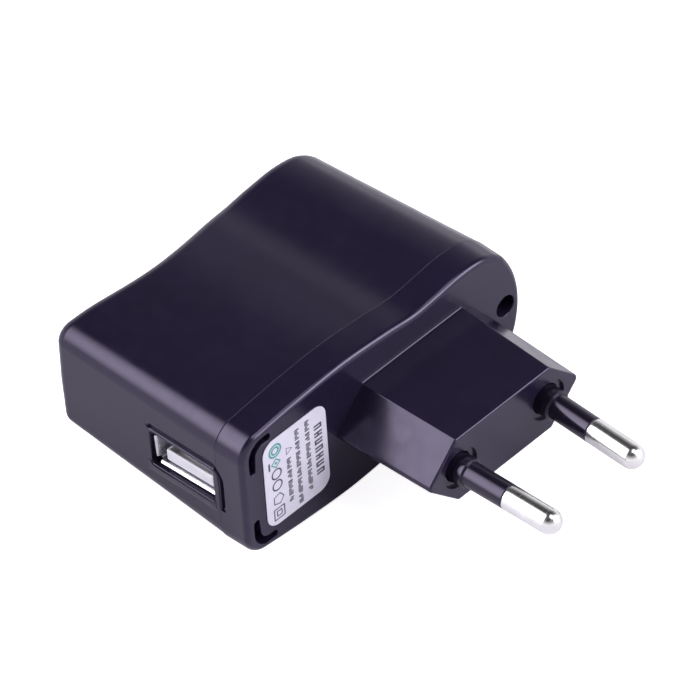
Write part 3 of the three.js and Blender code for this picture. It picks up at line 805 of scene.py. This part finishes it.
def screw():
    """A pan-head screw with a cross recess and a ridged shank."""
    tip = SCREW_SEAT - SCREW_LENGTH
    rest = SCREW_SEAT + SCREW_REST_GAP
    top = rest + SCREW_HEAD_HEIGHT
    core = SCREW_RADIUS - THREAD_DEPTH
    profile = [(tip, 0), (tip + SCREW_TIP, core)]
    x = tip + SCREW_TIP
    while x + SCREW_PITCH < rest - THREAD_END_GAP:
        profile += [(x + SCREW_PITCH * 0.5, SCREW_RADIUS), (x + SCREW_PITCH, core)]
        x += SCREW_PITCH
    profile += [(rest, core), (rest, SCREW_HEAD_RADIUS - 0.08)]
    profile += [(rest + 0.08, SCREW_HEAD_RADIUS)]
    profile += [(top - 0.45, SCREW_HEAD_RADIUS)]
    profile += [(top - 0.2, SCREW_HEAD_RADIUS - 0.2), (top - 0.04, 0.8), (top, 0)]
    body = turned(profile, 48)
    body.transform(Matrix.Translation((0, SCREW_Y, 0)))
    held = hold(body)
    deep = (top - CROSS_DEPTH, top + 1)
    for y, z in ((CROSS_LONG, CROSS_SHORT), (CROSS_SHORT, CROSS_LONG)):
        cut(held, block_of(deep, (y[0] + SCREW_Y, y[1] + SCREW_Y), z))
    return piece(held, "cover_screw_head_and_shank", "black_steel", "cover_screw")


# ---- label ----


def label():
    middle = (LABEL_Y, LABEL_Z)
    outline = rounded_rectangle(LABEL_WIDTH, LABEL_HEIGHT, LABEL_RADIUS, 10, middle)
    film = plate(outline, LABEL_FACE - LABEL_THICKNESS, LABEL_FACE, along_x, 0.03)
    return piece(hold(film), "label_film", "label", "rating_label")


def ink_bar(y, z, height, width, corner=0.08):
    """A printed bar. height runs along Y, the print's up, and width along Z."""
    shape = rounded_rectangle(height, width, corner, 2, (y, z))
    return plate(shape, LABEL_FACE - INK_HEIGHT, LABEL_FACE + INK_HEIGHT, along_x)


def ink_frame(outer, inner):
    """A printed outline between two closed outlines of equal length."""
    low = LABEL_FACE - INK_HEIGHT
    high = LABEL_FACE + INK_HEIGHT
    sections = [(outer, low), (outer, high), (inner, high), (inner, low)]
    return skin([[(x, y, z) for y, z in points] for points, x in sections], True)


def printed(marks, name, ink):
    """Makes the marks one piece. It has the label's slot, but is drawn in its own ink."""
    whole_print = bmesh.new()
    for mark in marks:
        data = bpy.data.meshes.new("mark")
        mark.to_mesh(data)
        mark.free()
        whole_print.from_mesh(data)
        bpy.data.meshes.remove(data)
    held = hold(whole_print)
    piece(held, name, "label")
    held.data.materials.clear()
    held.data.materials.append(MATERIALS[ink])


def text_line(y, first, last):
    """Word-like groups of fine strokes that stand for a line of print."""
    marks = []
    z = first
    stroke = 0
    while z > last:
        tall = TEXT_HEIGHT * (1, 0.72, 0.88, 0.6, 1)[stroke % 5]
        width = (0.28, 0.38, 0.24, 0.34)[stroke % 4]
        shift = (TEXT_HEIGHT - tall) / 2 * (-1) ** stroke
        marks.append(ink_bar(y + shift, z - width / 2, tall, width, 0.03))
        word_ends = stroke % 11 in (4, 8)
        z -= width + (0.42 if word_ends else 0.13)
        stroke += 1
    return marks


def heading(first, pitch, count):
    """Bold pairs of strokes that stand for a heading."""
    marks = []
    for i in range(count):
        z = first - i * pitch
        marks.append(ink_bar(HEADING_Y, z, 1.6, 0.34, 0.06))
        marks.append(ink_bar(HEADING_Y, z - 0.62, 1.6, 0.34, 0.06))
        link_y = HEADING_Y + (0.63, 0, -0.63)[i % 3]
        marks.append(ink_bar(link_y, z - 0.31, 0.34, 0.4, 0.06))
    return marks


def label_print():
    marks = heading(5.2, 1.5, 7)
    for row in TEXT_ROWS:
        marks += text_line(*row)

    def ring_mark(y, z, size, line, sides=32):
        outer = circle(size, sides, (y, z))
        return ink_frame(outer, circle(size - line, sides, (y, z)))

    def square_mark(z, size, line):
        outer = rounded_rectangle(size, size, 0.15, 3, (ICON_Y, z))
        inner_size = size - 2 * line
        return ink_frame(
            outer, rounded_rectangle(inner_size, inner_size, 0.1, 3, (ICON_Y, z))
        )

    dark = [
        square_mark(-6.2, 2.3, 0.22),
        square_mark(-6.2, 1.15, 0.2),
        ring_mark(ICON_Y, -3.4, 1.2, 0.22, 5),
        ring_mark(ICON_Y, -0.6, 1.05, 0.26),
        ring_mark(ICON_Y, 1.7, 1.05, 0.26),
        ink_bar(ICON_Y - 1.35, 3.9, 0.34, 1.5),
        ring_mark(TEXT_ROWS[-1][0], 4.6, 0.85, 0.2, 3),
    ]
    green = [
        ring_mark(ICON_Y, 6.4, 1.3, 0.3),
        ring_mark(ICON_Y, 6.4, 0.8, 0.3),
        ring_mark(ICON_Y, 3.9, 1.0, 0.28, 4),
        ink_bar(ICON_Y, 3.9, 0.45, 0.45, 0.1),
    ]
    printed([*marks, *dark], "label_print_dark", "ink_dark")
    printed(green, "label_print_green", "ink_green")


# ---- plug pins ----


def plug_pin(side, pole):
    dome = arc((PIN_LENGTH - PIN_RADIUS, 0), PIN_RADIUS, QUARTER, 0, 14)
    tail = rounded(
        [
            (PIN_TAIL_X, 0),
            (PIN_TAIL_X, PIN_TAIL_RADIUS),
            (SLEEVE_START - 1, PIN_TAIL_RADIUS),
            (SLEEVE_START - 0.6, PIN_CORE_RADIUS),
            (SLEEVE_END, PIN_CORE_RADIUS),
            (SLEEVE_END, PIN_RADIUS),
            (SLEEVE_END + 1, PIN_RADIUS),
        ],
        0.12,
    )
    body = at_pin(turned([*tail, *dome[:-1], (PIN_LENGTH, 0)], 96), side)
    return piece(hold(body), f"{pole}_contact_pin", "nickel", f"{pole}_pin")


def pin_sleeve(side, pole):
    end = SLEEVE_END - 0.06
    outer = rounded(
        [
            (SLEEVE_START, SLEEVE_BORE),
            (SLEEVE_START, COLLAR_RADIUS),
            (COLLAR_END, COLLAR_RADIUS),
            (COLLAR_END, PIN_RADIUS + 0.02),
            (end, PIN_RADIUS),
            (end, SLEEVE_BORE),
        ],
        0.14,
    )
    body = at_pin(turned([*outer, outer[0]], 96), side)
    return piece(
        hold(body), f"{pole}_pin_insulation", "sleeve_plastic", f"{pole}_pin_sleeve"
    )


# ---- USB receptacle ----


def usb_box(x, y, z):
    """A block in the receptacle: x and z are from its middle, and y is from its mouth."""
    return block_of(
        (USB_X + x[0], USB_X + x[1]),
        (USB_FRONT_Y + y[0], USB_FRONT_Y + y[1]),
        (USB_Z + z[0], USB_Z + z[1]),
    )


def in_port(held):
    """Rolls a finished piece of the receptacle as the whole receptacle sits in its port."""
    pivot = TO_ROW @ Vector((USB_X, USB_FRONT_Y, USB_Z))
    turn = Matrix.Rotation(-PORT_ROLL, 4, "Y")
    held.data.transform(Matrix.Translation(pivot) @ turn @ Matrix.Translation(-pivot))
    return held


def usb_shell():
    """A folded tube with flared flaps at its mouth and two spring tabs in each wide side."""

    def outline(inset):
        size = (USB_WIDTH - 2 * inset, USB_HEIGHT - 2 * inset)
        return rounded_rectangle(*size, 0.7 - inset / 2, 8, (USB_X, USB_Z))

    def flared(radius, inset):
        """The mouth's bend from the tube out to the flaps' edge, as (outline, y)."""
        levels = []
        for i in range(6):
            angle = FLAP_SWEEP * i / 5
            spread = outline(inset - radius * (1 - math.cos(angle)))
            levels.append((spread, FLAP_BEND - radius * math.sin(angle)))
        return levels

    outer = [(outline(0), USB_LENGTH), *flared(FLAP_BEND - USB_SHEET, 0)]
    inner = [*reversed(flared(FLAP_BEND, USB_SHEET)), (outline(USB_SHEET), USB_LENGTH)]
    rings = [
        [(x, USB_FRONT_Y + y, z) for x, z in points] for points, y in [*outer, *inner]
    ]
    tube = hold(skin(rings, True))
    corner_x = USB_WIDTH / 2
    corner_z = USB_HEIGHT / 2
    for x in (-corner_x, corner_x):
        for z in (-corner_z, corner_z):
            notch_x = sorted((x * 0.9, x * 1.2))
            notch_z = sorted((z * 0.7, z * 1.4))
            cut(tube, usb_box(notch_x, (-1, FLAP_NOTCH), notch_z))
    for side in (-1, 1):
        z = sorted((side * (corner_z - 0.5), side * (corner_z + 0.5)))
        for x in (-TAB_X, TAB_X):
            left = x - TAB_HALF_WIDTH
            right = x + TAB_HALF_WIDTH
            cut(
                tube,
                usb_box((left, left + TAB_SLIT), (TAB_FRONT, TAB_BACK), z),
                usb_box((right - TAB_SLIT, right), (TAB_FRONT, TAB_BACK), z),
                usb_box((left, right), (TAB_FRONT - TAB_SLIT, TAB_FRONT), z),
            )
    return in_port(piece(tube, "usb_metal_shell", "tinned_steel", "usb_shell"))


def usb_tongue():
    """A block at the back, and a tongue with a raised nose and a tray for the contacts."""
    inner_half = USB_WIDTH / 2 - USB_SHEET - 0.1
    inner_top = USB_HEIGHT / 2 - USB_SHEET - 0.1
    body = hold(
        usb_box(
            (-inner_half, inner_half),
            (USB_LENGTH - 3.5, USB_LENGTH - 0.3),
            (-inner_top, inner_top),
        )
    )
    low = TONGUE_Z - TONGUE_HEIGHT / 2
    high = TONGUE_Z + TONGUE_HEIGHT / 2
    nose = rounded_rectangle(12.2, TONGUE_HEIGHT, 0.28, 5, (6.75, TONGUE_Z))
    side = TONGUE_WIDTH / 2
    blade = plate(
        [(USB_FRONT_Y + y, USB_Z + z) for y, z in nose],
        USB_X - side,
        USB_X + side,
        along_x,
        0.12,
    )
    join(body, blade)
    tray_x = (-side + 0.35, side - 0.35)
    cut(
        body,
        usb_box(tray_x, (TRAY_FRONT, 10.4), (high - TRAY_DEPTH, high + 0.4)),
        usb_box(tray_x, (TRAY_FRONT, 2.6), (high - WINDOW_DEPTH, high)),
        usb_box((-side + 1, side - 1), (3, 9), (low - 1, low + 0.15)),
    )
    return in_port(piece(body, "usb_insulator", "white_plastic", "usb_tongue"))


def usb_contact(number, offset):
    """A spring contact that lies on the tongue and rises to a crest near the mouth."""
    base = TONGUE_Z + TONGUE_HEIGHT / 2 - TRAY_DEPTH + 0.02
    crest = [(2.7, 0.12), (3.1, 0.4), (3.7, 0.5), (4.4, 0.42)]
    tail = [(5.2, 0.25), (7, 0.25), (10.2, 0.25)]
    upper = spline([*crest, *tail], 5)
    lower = [(10.2, 0.0), (5, 0.0), (2.7, 0.0)]
    outline = [(USB_FRONT_Y + y, USB_Z + base + z) for y, z in [*upper, *lower]]
    x = USB_X + offset
    half = CONTACT_WIDTH / 2
    body = plate(outline, x - half, x + half, along_x)
    name = f"usb_contact_{number}"
    held = piece(hold(body), f"usb_spring_contact_{number}", "contact_gold", name)
    return in_port(held)


# ---- materials ----


class Finish:
    """A principled material whose colour, roughness and relief come from object-space noise."""

    def __init__(self, name, metallic=0.0, specular=0.5, coat=0.0):
        self.material = bpy.data.materials.new(name)
        self.material.use_nodes = True
        self.nodes = self.material.node_tree.nodes
        self.links = self.material.node_tree.links
        self.shader = self.nodes["Principled BSDF"]
        self.shader.inputs["Metallic"].default_value = metallic
        self.shader.inputs["Specular IOR Level"].default_value = specular
        self.shader.inputs["Coat Weight"].default_value = coat
        self.place = self.nodes.new("ShaderNodeTexCoord").outputs["Object"]
        self.normal = None

    def noise(self, size, detail=3.0, stretch=(1, 1, 1), distortion=0.0):
        """Noise whose features are about size millimetres wide, longer along stretched axes."""
        mapping = self.nodes.new("ShaderNodeMapping")
        mapping.inputs["Scale"].default_value = [1 / (size * MM * s) for s in stretch]
        texture = self.nodes.new("ShaderNodeTexNoise")
        texture.inputs["Scale"].default_value = 1
        texture.inputs["Detail"].default_value = detail
        texture.inputs["Distortion"].default_value = distortion
        self.links.new(self.place, mapping.inputs["Vector"])
        self.links.new(mapping.outputs["Vector"], texture.inputs["Vector"])
        return texture.outputs["Fac"]

    def ramp(self, value, low, high, start=0.3, end=0.7):
        ramp = self.nodes.new("ShaderNodeMapRange")
        ramp.inputs["From Min"].default_value = start
        ramp.inputs["From Max"].default_value = end
        ramp.inputs["To Min"].default_value = low
        ramp.inputs["To Max"].default_value = high
        self.links.new(value, ramp.inputs["Value"])
        return ramp.outputs["Result"]

    def colour(self, value, first, second):
        mix = self.nodes.new("ShaderNodeValToRGB")
        stops = zip(mix.color_ramp.elements, (0.3, 0.7), (first, second))
        for element, position, tone in stops:
            element.position = position
            element.color = (*tone, 1)
        self.links.new(value, mix.inputs["Fac"])
        self.links.new(mix.outputs["Color"], self.shader.inputs["Base Color"])

    def roughness(self, value, low, high, start=0.3, end=0.7):
        result = self.ramp(value, low, high, start, end)
        self.links.new(result, self.shader.inputs["Roughness"])

    def relief(self, value, microns):
        bump = self.nodes.new("ShaderNodeBump")
        bump.inputs["Strength"].default_value = 1
        bump.inputs["Distance"].default_value = microns * 1e-6
        self.links.new(value, bump.inputs["Height"])
        if self.normal:
            self.links.new(self.normal, bump.inputs["Normal"])
        self.normal = bump.outputs["Normal"]
        self.links.new(self.normal, self.shader.inputs["Normal"])


def plain_finish(name, first, second, roughness, grain, microns, patch=3.0, **look):
    """Two close tones in patches, with a fine grain that also changes the roughness."""
    finish = Finish(name, **look)
    finish.colour(finish.noise(patch), first, second)
    fine = finish.noise(grain, 4)
    finish.roughness(fine, *roughness)
    finish.relief(fine, microns)
    return finish.material


def moulded_black(name, tone, roughness):
    """Satin moulded plastic with a violet cast: slow waviness and a fine grain."""
    finish = Finish(name, specular=0.5)
    finish.shader.inputs["Specular Tint"].default_value = (0.82, 0.73, 1, 1)
    finish.colour(finish.noise(9), tone, [c * 1.2 for c in tone])
    finish.roughness(finish.noise(2.2, 5), *roughness, 0.3, 0.8)
    finish.relief(finish.noise(14, 2), 12)
    finish.relief(finish.noise(0.16, 3), 0.7)
    return finish.material


def bright_metal(name, first, second, roughness, stretch):
    """Drawn metal: long fine lines in roughness and relief."""
    finish = Finish(name, metallic=1.0)
    finish.colour(finish.noise(4), first, second)
    lines = finish.noise(0.12, 4, stretch)
    finish.roughness(lines, *roughness)
    finish.relief(lines, 0.5)
    finish.relief(finish.noise(2.5, 2), 3)
    return finish.material


def wound_tape():
    """Polyester tape: bands round the winding, over a warm copper glow."""
    finish = Finish("winding_tape", coat=0.4)
    bands = finish.noise(1.4, 2, (12, 12, 1))
    finish.colour(bands, (0.55, 0.33, 0.03), (0.72, 0.5, 0.08))
    finish.roughness(finish.noise(0.5), 0.25, 0.4)
    finish.relief(bands, 30)
    return finish.material


def paper_laminate():
    """Phenolic board: fibres, small flecks and a resin sheen."""
    finish = Finish("laminate", coat=0.3)
    fibres = finish.noise(0.35, 5, (6, 1, 1), 0.4)
    finish.colour(fibres, (0.32, 0.2, 0.075), (0.5, 0.36, 0.16))
    finish.roughness(finish.noise(0.2), 0.4, 0.6)
    finish.relief(fibres, 4)
    return finish.material


def floor_finish():
    """White paper with a glow that only the camera sees, for a background that reads as white."""
    finish = Finish("studio_floor", specular=0.2)
    finish.colour(finish.noise(300), (0.74, 0.725, 0.765), (0.77, 0.755, 0.795))
    finish.roughness(finish.noise(40), 0.55, 0.7)
    glow = finish.nodes.new("ShaderNodeEmission")
    glow.inputs["Color"].default_value = (1, 0.99, 1, 1)
    glow.inputs["Strength"].default_value = FLOOR_GLOW
    both = finish.nodes.new("ShaderNodeAddShader")
    finish.links.new(finish.shader.outputs["BSDF"], both.inputs[0])
    finish.links.new(glow.outputs["Emission"], both.inputs[1])
    path = finish.nodes.new("ShaderNodeLightPath")
    choice = finish.nodes.new("ShaderNodeMixShader")
    finish.links.new(path.outputs["Is Camera Ray"], choice.inputs["Fac"])
    finish.links.new(finish.shader.outputs["BSDF"], choice.inputs[1])
    finish.links.new(both.outputs["Shader"], choice.inputs[2])
    output = finish.nodes["Material Output"]
    finish.links.new(choice.outputs["Shader"], output.inputs["Surface"])
    return finish.material


MATERIALS = {
    "black_plastic": moulded_black(
        "black_plastic", (0.0092, 0.0068, 0.0185), (0.17, 0.27)
    ),
    "sleeve_plastic": moulded_black(
        "sleeve_plastic", (0.008, 0.006, 0.013), (0.12, 0.2)
    ),
    "nickel": bright_metal(
        "nickel", (0.76, 0.755, 0.75), (0.84, 0.835, 0.83), (0.16, 0.28), (1, 14, 14)
    ),
    "black_steel": bright_metal(
        "black_steel", (0.05, 0.05, 0.055), (0.09, 0.09, 0.095), (0.3, 0.5), (1, 6, 6)
    ),
    "tinned_steel": bright_metal(
        "tinned_steel", (0.58, 0.58, 0.61), (0.7, 0.7, 0.73), (0.16, 0.32), (1, 12, 1)
    ),
    "contact_gold": bright_metal(
        "contact_gold", (0.66, 0.43, 0.13), (0.78, 0.55, 0.2), (0.15, 0.28), (1, 8, 1)
    ),
    "label": plain_finish(
        "label", (0.54, 0.525, 0.61), (0.58, 0.565, 0.65), (0.35, 0.5), 0.25, 1.2
    ),
    "ink_dark": plain_finish(
        "ink_dark", (0.03, 0.026, 0.045), (0.06, 0.055, 0.08), (0.4, 0.6), 0.15, 1.5, 0.6
    ),
    "ink_green": plain_finish(
        "ink_green", (0.02, 0.2, 0.19), (0.05, 0.3, 0.28), (0.4, 0.6), 0.15, 1.5, 0.6
    ),
    "white_plastic": plain_finish(
        "white_plastic", (0.6, 0.59, 0.64), (0.66, 0.65, 0.7), (0.3, 0.45), 0.2, 1.5
    ),
    "laminate": paper_laminate(),
    "ferrite": plain_finish(
        "ferrite", (0.03, 0.03, 0.033), (0.07, 0.07, 0.075), (0.5, 0.8), 0.15, 9, 0.5
    ),
    "bobbin_plastic": plain_finish(
        "bobbin_plastic", (0.015, 0.015, 0.016), (0.025, 0.025, 0.026), (0.35, 0.55), 0.3, 3
    ),
    "winding_tape": wound_tape(),
    "can_sleeve": plain_finish(
        "can_sleeve", (0.01, 0.012, 0.05), (0.015, 0.018, 0.07), (0.25, 0.4), 0.6, 5, coat=0.3
    ),
    "epoxy": plain_finish(
        "epoxy", (0.012, 0.012, 0.013), (0.022, 0.022, 0.023), (0.4, 0.65), 0.15, 4
    ),
    "ceramic": plain_finish(
        "ceramic", (0.03, 0.13, 0.4), (0.045, 0.17, 0.48), (0.25, 0.45), 0.5, 8, coat=0.4
    ),
    "resistor_paint": plain_finish(
        "resistor_paint", (0.5, 0.38, 0.22), (0.58, 0.46, 0.28), (0.35, 0.5), 0.3, 6
    ),
    "brown_insulation": plain_finish(
        "brown_insulation", (0.13, 0.045, 0.015), (0.17, 0.06, 0.02), (0.3, 0.45), 0.4, 4
    ),
    "blue_insulation": plain_finish(
        "blue_insulation", (0.02, 0.09, 0.38), (0.03, 0.12, 0.45), (0.3, 0.45), 0.4, 4
    ),
}


def finish_carried_nodes():
    """Gives each CAD node that stays shown its slot's material and softened edges."""
    slots = {part["node"]: part["material_slot"] for part in frame["record"]["subparts"]}
    for name, node in frame["nodes"].items():
        if node.hide_render:
            continue
        node.data.materials.clear()
        node.data.materials.append(MATERIALS[slots[name]])
        bevel = node.modifiers.new("Soft edges", "BEVEL")
        bevel.width = 0.06 * MM
        bevel.segments = 2
        bevel.limit_method = "ANGLE"
        bevel.angle_limit = math.radians(40)


# ---- building ----

HOUSING = housing_outline()
rear_shell()
front_cover()
screw()
label()
label_print()
for side, pole in ((1, "live"), (-1, "neutral")):
    plug_pin(side, pole)
    pin_sleeve(side, pole)
usb_shell()
usb_tongue()
for number, offset in enumerate(CONTACT_OFFSETS, 1):
    usb_contact(number, offset)
finish_carried_nodes()


# ---- studio ----

# The camera, about the charger's own origin, in millimetres and degrees
CAMERA_TARGET = Vector((-21.75, -9.16, 9.90))
CAMERA_DISTANCE = 1001.2
CAMERA_AZIMUTH = -43.303
CAMERA_ELEVATION = 43.933
CAMERA_ROLL = -4.019
CAMERA_LENS = 353.64
CAMERA_SENSOR = 36

FLOOR_GLOW = 0.85
FLOOR_HALF_WIDTH = 4
STUDIO_TINT = (1.0, 0.985, 1.03)

# The room's brightness from the horizon and below (0) to straight up (1)
ROOM_STOPS = [
    (0.0, 1.3),
    (0.3, 0.85),
    (0.5, 0.45),
    (0.62, 0.2),
    (0.72, 0.045),
    (1.0, 0.035),
]

# Name, direction from the charger, up, distance, size and radiance, in metres
SOFTBOXES = [
    ("zenith", (0.35, 0.15, 0.93), (0, 1, 0), 1.0, (0.7, 0.6), 6.5),
    ("left", (-0.524, -0.61, 0.6), (0, 0.7, 0.71), 0.7, (0.55, 1.3), 5.8),
    ("right", (0.7, 0.49, 0.5), (0, 0, 1), 0.8, (0.9, 0.7), 9.0),
]


def camera():
    data = bpy.data.cameras.new("camera")
    data.lens = CAMERA_LENS
    data.sensor_width = CAMERA_SENSOR
    data.clip_start = 0.05
    data.clip_end = 20
    seen_by = bpy.data.objects.new("camera", data)
    bpy.context.scene.collection.objects.link(seen_by)
    turn = (
        Matrix.Rotation(math.radians(CAMERA_AZIMUTH) + QUARTER, 4, "Z")
        @ Matrix.Rotation(QUARTER - math.radians(CAMERA_ELEVATION), 4, "X")
        @ Matrix.Rotation(math.radians(CAMERA_ROLL), 4, "Z")
    )
    back = turn.to_3x3() @ Vector((0, 0, CAMERA_DISTANCE))
    seen_by.matrix_world = Matrix.Translation(TO_ROW @ (CAMERA_TARGET + back)) @ turn
    bpy.context.scene.camera = seen_by


def softbox(name, direction, up, distance, size, radiance):
    """A light that faces the charger and fades towards its edges.

    radiance is what a mirror would show of its middle.
    """
    data = bpy.data.lights.new(name, "AREA")
    data.shape = "RECTANGLE"
    data.size, data.size_y = size
    data.energy = radiance * HALF_TURN * size[0] * size[1]
    data.color = STUDIO_TINT
    data.use_nodes = True
    nodes = data.node_tree.nodes
    links = data.node_tree.links
    place = nodes.new("ShaderNodeNewGeometry")
    centred = nodes.new("ShaderNodeVectorMath")
    centred.operation = "SUBTRACT"
    centred.inputs[1].default_value = (0.5, 0.5, 0)
    reach = nodes.new("ShaderNodeVectorMath")
    reach.operation = "LENGTH"
    fade = nodes.new("ShaderNodeMapRange")
    fade.interpolation_type = "SMOOTHSTEP"
    fade.inputs["From Min"].default_value = 0.5
    fade.inputs["From Max"].default_value = 0.12
    links.new(place.outputs["Parametric"], centred.inputs[0])
    links.new(centred.outputs["Vector"], reach.inputs[0])
    links.new(reach.outputs["Value"], fade.inputs["Value"])
    links.new(fade.outputs["Result"], nodes["Emission"].inputs["Strength"])
    light = bpy.data.objects.new(name, data)
    bpy.context.scene.collection.objects.link(light)
    towards = Vector(direction).normalized()
    across = Vector(up).cross(towards).normalized()
    turn = Matrix((across, towards.cross(across), towards)).transposed()
    light.matrix_world = Matrix.Translation(ORIGIN + towards * distance) @ turn.to_4x4()


def surroundings():
    """A room that is bright round the horizon and dark overhead."""
    world = bpy.data.worlds.new("studio")
    world.use_nodes = True
    nodes = world.node_tree.nodes
    links = world.node_tree.links
    place = nodes.new("ShaderNodeTexCoord")
    split = nodes.new("ShaderNodeSeparateXYZ")
    ramp = nodes.new("ShaderNodeValToRGB")
    elements = ramp.color_ramp.elements
    while len(elements) < len(ROOM_STOPS):
        elements.new(0.5)
    for element, (height, level) in zip(elements, ROOM_STOPS):
        element.position = height
        element.color = (*[level * part for part in STUDIO_TINT], 1)
    links.new(place.outputs["Generated"], split.inputs["Vector"])
    links.new(split.outputs["Z"], ramp.inputs["Fac"])
    links.new(ramp.outputs["Color"], nodes["Background"].inputs["Color"])
    bpy.context.scene.world = world


def floor():
    half = FLOOR_HALF_WIDTH
    outline = [(-half, -half), (half, -half), (half, half), (-half, half)]
    held = hold(stack([(outline, -0.02), (outline, 0.0)], along_z), "studio_floor")
    held.data.materials.append(floor_finish())


camera()
surroundings()
floor()
for light in SOFTBOXES:
    softbox(*light)
bpy.context.scene.view_settings.view_transform = "Standard"
